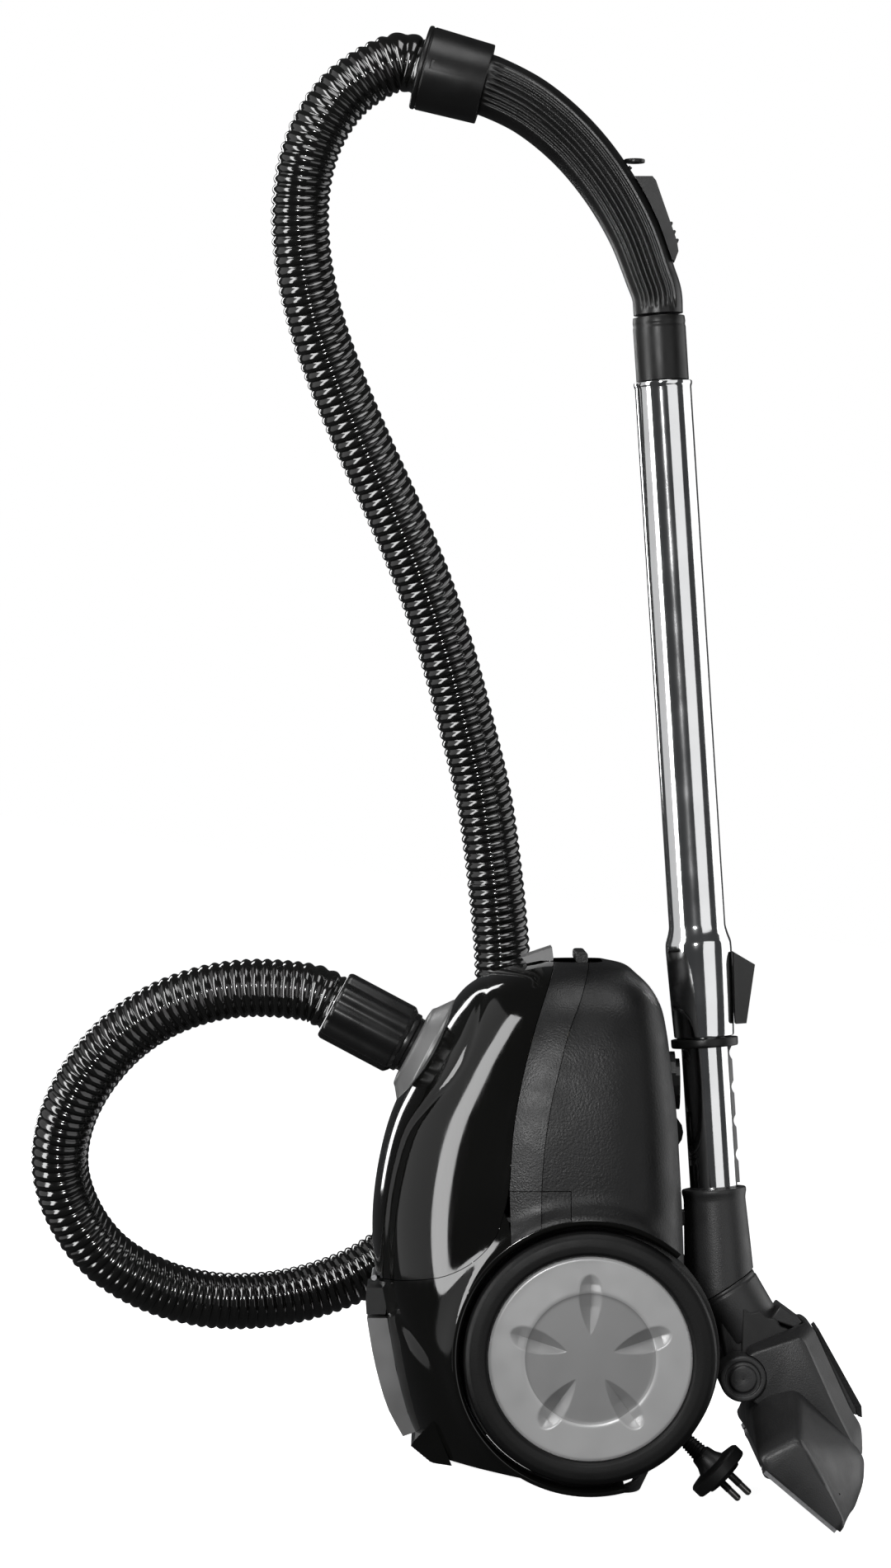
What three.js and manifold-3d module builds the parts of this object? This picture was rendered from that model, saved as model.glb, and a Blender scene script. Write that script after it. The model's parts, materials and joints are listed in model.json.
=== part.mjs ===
// Canister vacuum cleaner, standing on its rear end with the wand parked on its underside.
//
// Everything is built in the canister's own "carriage" frame, in millimetres:
//   x  from the lid side (negative) to the underside (positive)
//   y  across the canister, wheel to wheel
//   z  along the canister, up towards its nose
// The carriage group is then leaned by LEAN about y, because the parked canister rests on its rear foot
// and its wheel arches, and shifted so that the origin is the middle of the footprint, on the floor.
import * as THREE from 'three';
import { mergeVertices } from 'three/addons/utils/BufferGeometryUtils.js';
import Module from 'manifold-3d';

const wasm = await Module();
wasm.setup();

// ---------------------------------------------------------------- driving dimensions (mm)
const DEG = Math.PI / 180;
const LEAN = 8.6 * DEG;
const GAP = 0.4;
const WALL = 2.6;

const AXLE = { x: 98.5, z: -391 };
const TYRE_R = 86.5;
const HUB_R = 69.7;
const WHEEL_IN = 112;
const WHEEL_OUT = 140;
const ARCH_R = 89.6;
const ARCH_OUT = 134;
const WELL_Y = 106;

const WAND_TOP = { x: 153.6, z: 284.4 };
const WAND_TILT = 3.62 * DEG;
const UPPER_LEN = 464;
const UPPER_R = 20;
const LOWER_R = 16.7;
const TUBE_BORE = 17.3;
const LOWER_TOP = 46;
const NECK_TOP = 571;
const LOWER_END = -612;

const HOSE_R = 19;
const HOSE_TILT = 28 * DEG;
const CUFF_TILT = 15.1 * DEG;
const INLET = { x: -23, z: -185.1 };

const SWIVEL = { x: 196, z: -355.5 };
const SWIVEL_TILT = 32 * DEG;
const KNUCKLE = { x: 207.2, z: -414.6 };
const NOZZLE_HALF = 132;

// ---------------------------------------------------------------- materials
const finish = (color, roughness, metalness = 0) =>
  new THREE.MeshStandardMaterial({ color, roughness, metalness });
const GLOSS = finish(0x0b0b0c, 0.12);
const MATTE = finish(0x333335, 0.6);
const DARK = finish(0x161617, 0.5);
const SILVER = finish(0xb9babc, 0.35, 0.4);
const CHROME = finish(0xe6e8ea, 0.06, 1);
const STEEL = finish(0x9a9c9f, 0.3, 1);
const RUBBER = finish(0x1b1b1c, 0.75);
const HOSE = finish(0x0a0a0b, 0.2);
const PAPER = finish(0xd9d2c0, 0.9);
const FOAM = finish(0x5a5d60, 0.95);
const COPPER = finish(0xb0673a, 0.35, 1);
const BOARD = finish(0x2d6a3c, 0.6);
const BRISTLE = finish(0x20201f, 0.9);

// ---------------------------------------------------------------- solids
// The same skin with its shared corners merged, so that it is closed.
function merge(geometry) {
  const bare = geometry.clone();
  bare.deleteAttribute('normal');
  bare.deleteAttribute('uv');
  return mergeVertices(bare, 1e-3);
}

function toSolid(geometry) {
  const merged = merge(geometry);
  const mesh = new wasm.Mesh({
    numProp: 3,
    vertProperties: new Float32Array(merged.attributes.position.array),
    triVerts: new Uint32Array(merged.index.array),
  });
  return new wasm.Manifold(mesh);
}

function toGeometry(solid) {
  const mesh = solid.getMesh();
  const geometry = new THREE.BufferGeometry();
  geometry.setAttribute('position', new THREE.BufferAttribute(new Float32Array(mesh.vertProperties), 3));
  geometry.setIndex(new THREE.BufferAttribute(new Uint32Array(mesh.triVerts), 1));
  geometry.computeVertexNormals();
  return geometry;
}

const join = (first, ...rest) =>
  toGeometry(rest.reduce((sum, piece) => sum.add(toSolid(piece)), toSolid(first)));
const cut = (first, ...rest) =>
  toGeometry(rest.reduce((left, piece) => left.subtract(toSolid(piece)), toSolid(first)));
const common = (first, second) => toGeometry(toSolid(first).intersect(toSolid(second)));

function box(x0, x1, y0, y1, z0, z1) {
  const geometry = new THREE.BoxGeometry(x1 - x0, y1 - y0, z1 - z0);
  return geometry.translate((x0 + x1) / 2, (y0 + y1) / 2, (z0 + z1) / 2);
}

// A cylinder along y, from y0 to y1, on the axis (x, z).
function rodY(radius, y0, y1, x = 0, z = 0, sides = 16) {
  return new THREE.CylinderGeometry(radius, radius, y1 - y0, sides).translate(x, (y0 + y1) / 2, z);
}

// A cylinder along z, from z0 to z1.
function rodZ(radius, z0, z1, x = 0, y = 0, sides = 16) {
  const rod = new THREE.CylinderGeometry(radius, radius, z1 - z0, sides);
  return rod.rotateX(Math.PI / 2).translate(x, y, (z0 + z1) / 2);
}

// Turned shapes: a closed profile of [radius, height] pairs, with the axis along z or along y.
function turnedZ(profile, sides = 16) {
  const points = [...profile, profile[0]].map(([r, h]) => new THREE.Vector2(r, h));
  const geometry = new THREE.LatheGeometry(orient(points), sides);
  return geometry.rotateX(Math.PI / 2);
}

function turnedY(profile, sides = 16) {
  const points = [...profile, profile[0]].map(([r, h]) => new THREE.Vector2(r, h));
  return new THREE.LatheGeometry(orient(points), sides);
}

// LatheGeometry faces outwards when its profile runs anticlockwise in the (radius, height) plane.
function orient(points) {
  return THREE.ShapeUtils.area(points) < 0 ? points.reverse() : points;
}

// A tube wall along z: outer and inner radius, from z0 to z1.
const pipeZ = (outer, inner, z0, z1, sides = 16) =>
  turnedZ([[inner, z0], [outer, z0], [outer, z1], [inner, z1]], sides);

// A flat outline in the side view (x, z), given as [x, z] pairs, made solid from y0 to y1.
function plateY(outline, y0, y1) {
  const shape = new THREE.Shape(outline.map(([x, z]) => new THREE.Vector2(x, z)));
  const solid = new THREE.ExtrudeGeometry(shape, { depth: y1 - y0, bevelEnabled: false });
  return solid.rotateX(Math.PI / 2).translate(0, y1, 0);
}

// A smooth line through a few points, as [x, z] pairs.
function smooth(points, count) {
  const curve = new THREE.CatmullRomCurve3(points.map(([x, z]) => new THREE.Vector3(x, 0, z)), false,
    'centripetal');
  return curve.getPoints(count).map((p) => [p.x, p.z]);
}

// A closed skin through rings of points, all rings with the same number, with flat ends.
function loft(rings) {
  const count = rings[0].length;
  const positions = rings.flat(2);
  const index = [];
  for (let i = 0; i + 1 < rings.length; i++) {
    for (let j = 0; j < count; j++) {
      const a = i * count + j;
      const b = i * count + ((j + 1) % count);
      index.push(a, b, b + count, a, b + count, a + count);
    }
  }
  for (const [ring, flip] of [[0, true], [rings.length - 1, false]]) {
    const middle = [0, 1, 2].map((k) => rings[ring].reduce((sum, p) => sum + p[k], 0) / count);
    const centre = positions.length / 3;
    positions.push(...middle);
    for (let j = 0; j < count; j++) {
      const a = ring * count + j;
      const b = ring * count + ((j + 1) % count);
      index.push(...(flip ? [centre, b, a] : [centre, a, b]));
    }
  }
  const geometry = new THREE.BufferGeometry();
  geometry.setAttribute('position', new THREE.BufferAttribute(new Float32Array(positions), 3));
  geometry.setIndex(index);
  return geometry;
}

// A straight move along the side-view direction that is "tilt" above the -x axis.
function along(origin, tilt, distance) {
  return { x: origin.x - Math.cos(tilt) * distance, z: origin.z + Math.sin(tilt) * distance };
}

// Turns a skin inside out when its faces point inwards.
function outward(geometry) {
  const p = geometry.attributes.position;
  const index = geometry.index.array;
  const [a, b, c] = [new THREE.Vector3(), new THREE.Vector3(), new THREE.Vector3()];
  let volume = 0;
  for (let i = 0; i < index.length; i += 3) {
    a.fromBufferAttribute(p, index[i]);
    b.fromBufferAttribute(p, index[i + 1]);
    c.fromBufferAttribute(p, index[i + 2]);
    volume += a.dot(b.cross(c));
  }
  if (volume < 0) {
    geometry.setIndex(Array.from(index).reverse());
  }
  geometry.computeVertexNormals();
  return geometry;
}

// A round rod that follows a line of points, with its radius given along the line from 0 to 1.
function rodAlong(points, radiusAt, steps, sides = 10) {
  const curve = new THREE.CatmullRomCurve3(points.map((p) => new THREE.Vector3(...p)), false, 'centripetal');
  const frames = curve.computeFrenetFrames(steps, false);
  const rings = [];
  for (let i = 0; i <= steps; i++) {
    const centre = curve.getPointAt(i / steps);
    const radius = radiusAt(i / steps);
    const ring = [];
    for (let j = 0; j < sides; j++) {
      const turn = (2 * Math.PI * j) / sides;
      const spoke = frames.normals[i].clone().multiplyScalar(Math.cos(turn) * radius)
        .addScaledVector(frames.binormals[i], Math.sin(turn) * radius);
      ring.push(centre.clone().add(spoke).toArray());
    }
    rings.push(ring);
  }
  return outward(loft(rings));
}

// ---------------------------------------------------------------- the canister's skin
// Cross-sections along the canister: height, lid crest, underside and half width. The lid side is a
// round dome and the underside is a flat with round corners, so each half has its own exponent.
const SECTIONS = [
  { z: -124.5, left: 66, right: 113, half: 50 },
  { z: -128, left: 50, right: 127, half: 66 },
  { z: -134, left: 30, right: 135, half: 78 },
  { z: -143, left: 15, right: 144, half: 88 },
  { z: -156, left: 4, right: 151, half: 97 },
  { z: -175, left: -8, right: 155, half: 104 },
  { z: -200, left: -22.5, right: 158, half: 109 },
  { z: -230, left: -37.5, right: 161.5, half: 113 },
  { z: -262, left: -46.5, right: 163.5, half: 115.5 },
  { z: -300, left: -51.5, right: 165.5, half: 117 },
  { z: -335, left: -50.5, right: 166.5, half: 117 },
  { z: -372, left: -44, right: 167, half: 117 },
  { z: -410, left: -37.5, right: 165, half: 116 },
  { z: -440, left: -29.5, right: 158, half: 114 },
  { z: -462, left: -20, right: 149, half: 111 },
  { z: -490, left: -6, right: 136, half: 107 },
];
const DOME_POWER = 2.3;
const FLAT_POWER = 4.5;
const RING_POINTS = 28;
const RING_MIDDLE = 0.6;

function section({ z, left, right, half }, inset) {
  const middle = left + (right - left) * RING_MIDDLE;
  const ring = [];
  for (let j = 0; j < RING_POINTS; j++) {
    const turn = (2 * Math.PI * j) / RING_POINTS;
    const c = Math.cos(turn);
    const s = Math.sin(turn);
    const power = 2 / (c > 0 ? DOME_POWER : FLAT_POWER);
    const reach = c > 0 ? left + inset - middle : middle - right + inset;
    ring.push([
      middle + Math.abs(c) ** power * reach * (c > 0 ? 1 : -1),
      Math.abs(s) ** power * (half - inset) * Math.sign(s),
      z,
    ]);
  }
  return ring;
}

// The whole canister as one solid, drawn in by "inset" on every side.
function bodySolid(inset) {
  const last = SECTIONS.length - 1;
  const rings = SECTIONS.map((row, i) => {
    const shift = i === 0 ? -inset : 0;
    return section({ ...row, z: row.z + (i === last ? inset : shift) }, inset);
  });
  return outward(loft(rings));
}

// The rear end stops a little above the floor, along a line parallel to it.
const FLOOR = { x: -9.6, z: -470 };
const FLOOR_SLOPE = Math.tan(LEAN);
const floorZ = (x, above = 0) => FLOOR.z - (x - FLOOR.x) * FLOOR_SLOPE + above;
const END_CLEAR = 3.5;
const belowFloor = (above) =>
  plateY([[-150, floorZ(-150, above)], [300, floorZ(300, above)], [300, -700], [-150, -700]], -160, 160);

const clipped = (inset) => cut(bodySolid(inset), belowFloor(END_CLEAR + inset));
const SKIN = cut(clipped(0), clipped(WALL));

// Side-view seams. The lid's edge runs along the carry band and then rounds its rear corner.
const LID_EDGE = smooth([[78, -110], [76.1, -122.4], [61.8, -166.9], [52.6, -202.1], [46.3, -237.4],
  [43.2, -277.9], [40.7, -290.7], [33.9, -310.7], [18.5, -327.8], [0, -338.1], [-17.4, -342.1],
  [-45, -345.6], [-90, -346]], 30);
const BAND_RIGHT = smooth([[103, -108], [101.2, -118.4], [93, -148.3], [85.2, -168.4], [77.4, -197.6],
  [71.2, -225], [66.4, -263.8], [64.9, -316]], 14);
const shifted = (points, dx, dz = 0) => points.map(([x, z]) => [x + dx, z + dz]);
const BAND_LEFT = [...shifted(LID_EDGE.filter(([, z]) => z > -279), GAP), [45, -316]];
const REAR_SPLIT = [[45.4, -316], [66, -391], [66, -510]];

const across = (outline) => plateY(outline, -130, 130);
const wheelHole = (radius) => [rodY(radius, -150, -100, AXLE.x, AXLE.z, 36),
  rodY(radius, 100, 150, AXLE.x, AXLE.z, 36)];

function dustCover() {
  const panel = common(SKIN, across([...LID_EDGE, [-90, -105]]));
  return cut(panel, inletHole(), hingeRoom());
}

function rearHousing() {
  const corner = LID_EDGE.filter(([, z]) => z < -292);
  const top = shifted(corner.reverse(), 0.1, -GAP);
  const outline = [...top, [43.2, -300], ...REAR_SPLIT, [-90, -510]];
  const panel = common(SKIN, across(outline));
  return cut(panel, ...wheelHole(92.4), outletHole(), trimSlot(), hingeRoom());
}

function lowerHousing() {
  const split = shifted([...REAR_SPLIT].reverse(), GAP);
  const outline = [...shifted(BAND_RIGHT, GAP), ...[...split].reverse(), [230, -510], [230, -100]];
  const panel = common(SKIN, across(outline));
  const underWheels = [-1, 1].map((side) => box(60, 140, Math.min(side * 100, side * 130),
    Math.max(side * 100, side * 130), -510, -470));
  return cut(panel, ...wheelHole(92.4), ...underWheels, casterHole(), parkingHole(), outletHole());
}

const GRIP = { x0: 80, x1: 100.5, half: 43, floor: -149 };
const BAND_PROUD = 2.2;

function carryBand() {
  const outline = [...BAND_RIGHT.slice().reverse(), ...BAND_LEFT];
  const strip = common(cut(bodySolid(-BAND_PROUD), bodySolid(WALL)), across(outline));
  const pocket = box(GRIP.x0 - 2.4, GRIP.x1 + 2.4, -GRIP.half - 2.4, GRIP.half + 2.4, GRIP.floor - 2.4, -127);
  const walls = common(pocket, plateY([...BAND_RIGHT.slice().reverse(), ...BAND_LEFT], -130, 130));
  const mouth = box(GRIP.x0, GRIP.x1, -GRIP.half, GRIP.half, GRIP.floor, -100);
  const bar = box(91, 99.4, -GRIP.half - 5, GRIP.half + 5, -125, -117.5);
  return cut(join(cut(join(strip, walls), mouth), bar), ...wheelHole(97));
}

// The gloss lip round each wheel, with the disc that closes the wheel well behind it.
const LIP_R = (AXLE.z - floorZ(AXLE.x)) * Math.cos(LEAN);
const LIP_START = 49;
const LIP_END = 285;
function wheelArch(side) {
  const ring = turnedY([[ARCH_R, WELL_Y - 3], [92, WELL_Y - 3], [92, 127], [LIP_R, 131], [LIP_R, ARCH_OUT],
    [ARCH_R, ARCH_OUT]], 36);
  const reach = 140;
  const wedge = [[0, 0]];
  for (let angle = LIP_END - 360; angle <= LIP_START; angle += (LIP_START + 360 - LIP_END) / 4) {
    wedge.push([Math.cos(angle * DEG) * reach, Math.sin(angle * DEG) * reach]);
  }
  const lip = cut(ring, plateY(wedge, 90, 150));
  const disc = common(rodY(91, WELL_Y - 3, WELL_Y, AXLE.x, AXLE.z, 36), cut(bodySolid(3.2), belowFloor(6.5)));
  const well = join(disc, lip.translate(AXLE.x, 0, AXLE.z));
  const drilled = cut(well, rodY(5.4, 80, 150, AXLE.x, AXLE.z));
  return side > 0 ? drilled : outward(drilled.scale(1, -1, 1));
}

function inletAxis(geometry) {
  // Stands a shape turned about z on the inlet, pointing out of the lid.
  return geometry.rotateY(-(Math.PI / 2 - HOSE_TILT)).translate(INLET.x, 0, INLET.z);
}
const inletHole = () => inletAxis(rodZ(21, -40, 20));

// The lid turns about the outer edge of its rear seam, in a round room shared with the rear housing.
const HINGE = { x: -50.2, z: -346.2 };
const hingeRoom = () => rodY(2.5, -30, 30, HINGE.x, HINGE.z);

const OUTLET = { x: 160.5, y: -60, z: -449.6 };
const PLUG_TILT = 44 * DEG;
// Stands a shape turned about z at the cord outlet, pointing the way the plug leaves.
const plugAxis = (geometry) =>
  geometry.rotateY(Math.PI / 2 + PLUG_TILT).translate(OUTLET.x, OUTLET.y, OUTLET.z);
const outletHole = () => plugAxis(rodZ(11.4, -30, 20));
const trimSlot = () => box(-70, -30, -33, 33, -373, -351);
const casterHole = () => rodX(CASTER.well + 2.4, 130, 180, CASTER.z, 0, 28);
const parkingHole = () => box(130, 180, -PARK.half - 2.4, PARK.half + 2.4, PARK.z0 - 2.4, PARK.z1 + 2.4);

// A cylinder along x, from x0 to x1, at height z.
function rodX(radius, x0, x1, z, y = 0, sides = 16) {
  const rod = new THREE.CylinderGeometry(radius, radius, x1 - x0, sides);
  return rod.rotateZ(Math.PI / 2).translate((x0 + x1) / 2, y, z);
}

// ---------------------------------------------------------------- fittings on the canister
// The same shape on the other side of the canister.
const mirrored = (geometry) => outward(merge(geometry).scale(1, -1, 1));

function latch() {
  const outline = [[53.4, -121.8], [74.8, -114.6], [75.8, -122.5], [75.4, -124], [66, -124], [57, -125.9]];
  return plateY(outline, -26, 26);
}

const INLET_BORE = 20.6;
function inletRing() {
  const profile = [[INLET_BORE, 0], [30.2, 0], [42.5, -9], [42.5, -34], [INLET_BORE, -34]];
  const ring = inletAxis(turnedZ(profile, 32));
  return cut(ring, bodySolid(-GAP));
}

const CONNECTOR_START = 6.3;
const CONNECTOR_END = 63.4;
function hoseConnector() {
  const neck = pipeZ(INLET_BORE - GAP, 16, -24, 8);
  const grip = turnedZ([[16, 7], [16, CONNECTOR_END], [25, CONNECTOR_END], [26, CONNECTOR_END - 2],
    [26, CONNECTOR_START + 2], [24, CONNECTOR_START], [16, CONNECTOR_START]], 24);
  return inletAxis(join(neck, grip));
}

function rearTrim() {
  const outer = smooth([[-55.1, -374.2], [-51.3, -397.5], [-46.1, -419.7], [-39.7, -438.9], [-29.8, -457]], 8);
  const strip = plateY([...outer, [-10, -450], [-20, -374.2]], -33, 33);
  return cut(strip, bodySolid(-GAP));
}

function rearButton(side) {
  const cap = plateY([[-55.4, -353], [-56, -362], [-55.4, -371.6], [-42, -371.6], [-40, -353]], 1, 32);
  return side > 0 ? cap : mirrored(cap);
}

const FOOT_HALF = 74;
function rearFoot() {
  const outline = [[-24, -458.2], [FLOOR.x, FLOOR.z], [24, floorZ(24)], [34, -470], [34, -440], [-10, -440]];
  const body = cut(bodySolid(-GAP), belowFloor(END_CLEAR - GAP));
  return cut(plateY(outline, -FOOT_HALF, FOOT_HALF), body);
}

function hingePin() {
  return rodY(2, -29, 29, HINGE.x, HINGE.z, 12);
}

// ---------------------------------------------------------------- front caster
// The caster swivels about an axis along x in a round well, and its wheel trails below the swivel.
const CASTER = { z: -212, wheelX: 154.4, wheelZ: -246, wheelR: 13.5, well: 51, floor: 139 };

function casterWell() {
  const cup = cut(rodX(CASTER.well + 2, CASTER.floor - 2, 180, CASTER.z, 0, 28),
    rodX(CASTER.well, CASTER.floor, 200, CASTER.z, 0, 28), rodX(6.4, 100, 150, CASTER.z));
  return common(cup, bodySolid(0.2));
}

function casterFork() {
  const { z, wheelX, wheelZ, wheelR } = CASTER;
  const crown = join(rodX(23, 151, 162, z), rodX(18, 161, 165.3, z));
  const arms = [1, -1].map((side) => box(148, 161, side > 0 ? 8.6 : -12, side > 0 ? 12 : -8.6, -252, -214));
  const stem = rodX(6, 134, 152, z);
  const clear = rodY(wheelR + 1.2, -8, 8, wheelX, wheelZ);
  return cut(join(crown, ...arms, stem), clear, rodY(2.4, -20, 20, wheelX, wheelZ, 12));
}

// The wheel and its axle ends turn as one.
const casterWheel = () => turnedY([[0, -11.8], [2, -11.8], [2, -7], [12, -7], [CASTER.wheelR, -5.5],
  [CASTER.wheelR, 5.5], [12, 7], [2, 7], [2, 11.8], [0, 11.8]]);

// The socket on the underside that holds the wand's parking hook: wide above, a narrow slot below.
const PARK = { half: 14, z0: -332, z1: -270, floor: 146, lip: 162.6, slotTop: -296, slotBottom: -312.8 };
function parkingSocket() {
  const outer = box(PARK.floor - 2, 175, -PARK.half - 2, PARK.half + 2, PARK.z0 - 2, PARK.z1 + 2);
  const room = box(PARK.floor, PARK.lip, -PARK.half, PARK.half, PARK.z0, PARK.z1);
  const wide = box(PARK.lip - 1, 180, -12.5, 12.5, PARK.slotTop, PARK.z1 - 2);
  const slot = box(PARK.lip - 1, 180, -6, 6, PARK.slotBottom, PARK.slotTop + 1);
  return common(cut(outer, room, wide, slot), bodySolid(0.2));
}

// ---------------------------------------------------------------- wheels
function tyre() {
  return turnedY([[70, WHEEL_IN + 1], [72, WHEEL_IN], [83, WHEEL_IN + 1], [TYRE_R, WHEEL_IN + 7],
    [TYRE_R, WHEEL_OUT - 7], [TYRE_R - 1.5, WHEEL_OUT - 2.5], [80, WHEEL_OUT],
    [73, WHEEL_OUT - 0.5], [70, WHEEL_OUT - 3]], 32);
}

function hubCap() {
  return turnedY([[0, 139], [44, 138.4], [46, 137.4], [HUB_R, 136.5], [HUB_R, 114],
    [8, 114], [8, 128], [0, 128]], 32);
}

const stubAxle = () => rodY(5, 88, 127.4, 0, 0, 16);

// ---------------------------------------------------------------- inside the canister
const MOTOR = { x: 85, y: -38, top: -312, bottom: -396, radius: 48 };
const REEL = { x: 72, z: -392, y0: 22, y1: 78, flange: 58, hub: 26 };

function bulkhead() {
  const slab = common(bodySolid(WALL + GAP), box(-100, 200, -130, 130, -300, -297));
  const socketRoom = box(140, 200, -PARK.half - 3, PARK.half + 3, -340, -260);
  return cut(slab, rodZ(34, -320, -280, MOTOR.x, MOTOR.y), socketRoom, ...wheelHole(93));
}

const motorFilter = () => rodZ(42, -296.6, -289, MOTOR.x, MOTOR.y);

function motorHousing() {
  const shell = turnedZ([[32, MOTOR.top], [MOTOR.radius, MOTOR.top], [MOTOR.radius, MOTOR.bottom],
    [9, MOTOR.bottom], [9, MOTOR.bottom + 3], [MOTOR.radius - 3, MOTOR.bottom + 3],
    [MOTOR.radius - 3, MOTOR.top - 3], [32, MOTOR.top - 3]]);
  const flange = cut(box(-52, 56, -48, 46, MOTOR.bottom - 2, MOTOR.bottom + 1), rodZ(9, -410, -380));
  return join(shell, flange).translate(MOTOR.x, MOTOR.y, 0);
}

function motorStator() {
  return pipeZ(MOTOR.radius - 3.5, 25, MOTOR.bottom + 14, MOTOR.bottom + 46).translate(MOTOR.x, MOTOR.y, 0);
}

function motorRotor() {
  const rotor = turnedZ([[0, -318], [10, -318], [12, -322], [42, -326], [42, -334], [6, -335], [6, -348],
    [24, -349], [24, -384], [4, -385], [4, -392], [0, -392]]);
  return rotor.translate(MOTOR.x, MOTOR.y, 0);
}

const exhaustFilter = () => box(14, 84, -84, 8, -440, -426);

function bagHolder() {
  const plate = cut(box(-34, 34, -34, 34, -37.5, -34.5), rodZ(17, -45, -30));
  return inletAxis(plate);
}

function dustBag() {
  const bag = new THREE.SphereGeometry(1, 14, 8);
  return bag.scale(50, 84, 50).translate(80, 0, -224);
}

function reelDrum() {
  const { y0, y1, flange, hub } = REEL;
  return turnedY([[6.4, y0], [flange, y0], [flange, y0 + 2], [hub, y0 + 2], [hub, y1 - 2],
    [flange, y1 - 2], [flange, y1], [6.4, y1]], 32).translate(REEL.x, 0, REEL.z);
}

const WINDING_OUT = 52;
function cordWinding() {
  return turnedY([[REEL.hub + GAP, REEL.y0 + 2.4], [WINDING_OUT, REEL.y0 + 2.4], [WINDING_OUT, REEL.y1 - 2.4],
    [REEL.hub + GAP, REEL.y1 - 2.4]], 32).translate(REEL.x, 0, REEL.z);
}

const reelAxle = () => rodY(6, 14, 102.6, REEL.x, REEL.z, 16);
const circuitBoard = () => box(150, 151.6, -30, 50, -430, -345);

// The end of the mains cord runs inside from the reel to the outlet.
const CORD_R = 3.4;
function cordLead() {
  const end = (d) => [OUTLET.x - Math.sin(Math.PI / 2 - PLUG_TILT) * d, OUTLET.y,
    OUTLET.z + Math.sin(PLUG_TILT) * d];
  const route = [[REEL.x + WINDING_OUT + 4, 50, REEL.z + 4], [REEL.x + WINDING_OUT + 4, 44, REEL.z - 14],
    [128, 22, -424], [133, -10, -432], [137, -38, -436], [142, -54, -440], end(16), end(8.6)];
  return rodAlong(route, () => CORD_R, 18, 8);
}

function outletGrommet() {
  return plugAxis(turnedZ([[4, -9], [11, -9], [11, 3], [9, 4.5], [4, 4.5]]));
}

// Contour plug with its moulded strain relief and its two pins, on the outlet's axis.
const RELIEF_END = 22;
function plug() {
  const back = turnedZ([[0, 5], [4.6, 5], [5.2, 8], [6, RELIEF_END], [8, RELIEF_END + 1], [15, 35], [21.5, 37.5],
    [21.5, 44], [17, 45.5], [17, 47], [0, 47]], 18);
  const pins = [-1, 1].map((side) => rodZ(2.4, 46, 66, side * 4.5, side * 8.4, 12));
  return plugAxis(join(back.scale(1, 0.86, 1), ...pins));
}

// ---------------------------------------------------------------- telescopic wand
// In the wand's own frame z runs up the tube from the upper tube's top rim, and x points away from
// the canister.
function upperTube() {
  const tube = turnedZ([[TUBE_BORE, -UPPER_LEN], [21.4, -UPPER_LEN], [23.4, -400], [22.8, -396],
    [UPPER_R, -388], [UPPER_R, -3], [20.6, -2], [20.6, 0], [TUBE_BORE, 0]], 20);
  return cut(tube, keyway());
}

// The rack strip of the lower tube runs in a keyway along the upper tube and its collar.
const keyway = () => box(10, 19, -3.8, 3.8, -480, 10);
const wandCollar = () => cut(pipeZ(23.6, TUBE_BORE, -UPPER_LEN - GAP - 6.6, -UPPER_LEN - GAP, 20), keyway());

function lowerTube() {
  const tube = pipeZ(LOWER_R, 15.2, LOWER_END, -LOWER_TOP, 20);
  const flat = box(16, 19, -4, 4, -NECK_TOP, 0);
  return cut(tube, flat);
}

// The rack of catch notches on the lower tube's outer side.
const NOTCH_PITCH = 24;
function rackStrip() {
  const strip = box(16.3, 18.5, -3.4, 3.4, 3 - NECK_TOP, -LOWER_TOP - 20);
  const notches = [];
  for (let z = -485; z > -560; z -= NOTCH_PITCH) {
    notches.push(box(17.3, 19, -4, 4, z - 2, z + 2));
  }
  return cut(strip, ...notches);
}

// The release button is a wedge on a rail beside the lock sleeve, and slides down the tube.
function tubeButton() {
  const wedge = [[23.9, -405], [38.6, -415], [30, -456], [22.4, -456], [22.4, -448]];
  return plateY(wedge, -9, 9);
}

function neckSleeve() {
  return turnedZ([[14, -16], [16.8, -16], [16.8, GAP], [18.6, GAP], [18.6, 44], [18, 46], [14, 46]], 20);
}

// The curved handle, a tapered tube whose centre line turns from the wand to the hose cuff, with a small
// hanging loop on its back.
const HANDLE_LINE = [[25.1, 495.5], [32, 493.6], [58, 481], [88, 454.5], [114, 426], [133, 394],
  [145, 362], [149.6, 346], [150.4, 333]];
function handle() {
  const line = HANDLE_LINE.map(([x, z]) => [x, 0, z]);
  const solid = rodAlong(line, (t) => 22.2 - 4.4 * t, 18, 14);
  const bore = rodAlong([[20, 0, 497.2], ...line.slice(1, -1), [150.9, 0, 325]], (t) => 17.5 - 2.5 * t, 12, 8);
  const lug = turnedY([[3.4, -1.4], [7.4, -1.4], [7.4, 1.4], [3.4, 1.4]], 16);
  const standing = lug.rotateX(Math.PI / 2).translate(133.6, 0, 440.5);
  return cut(join(solid, standing), bore);
}

// Stands a shape turned about z on the cuff's right face, pointing at the hose.
const CUFF = { x: 28, z: 494.7 };
const CUFF_LEN = 48;
const cuffAxis = (geometry) => geometry.rotateY(-(Math.PI / 2 - CUFF_TILT)).translate(CUFF.x, 0, CUFF.z);
function hoseCuff() {
  const shell = turnedZ([[17, 3.5], [23.4, 3.5], [23.4, 0], [28.6, 0], [30, CUFF_LEN - 5], [30, CUFF_LEN - 1],
    [29, CUFF_LEN], [17, CUFF_LEN]], 20);
  return cuffAxis(shell);
}

const handleEnvelope = (margin) =>
  rodAlong(HANDLE_LINE.map(([x, z]) => [x, 0, z]), (t) => 22.2 - 4.4 * t + margin, 18, 14);

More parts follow.
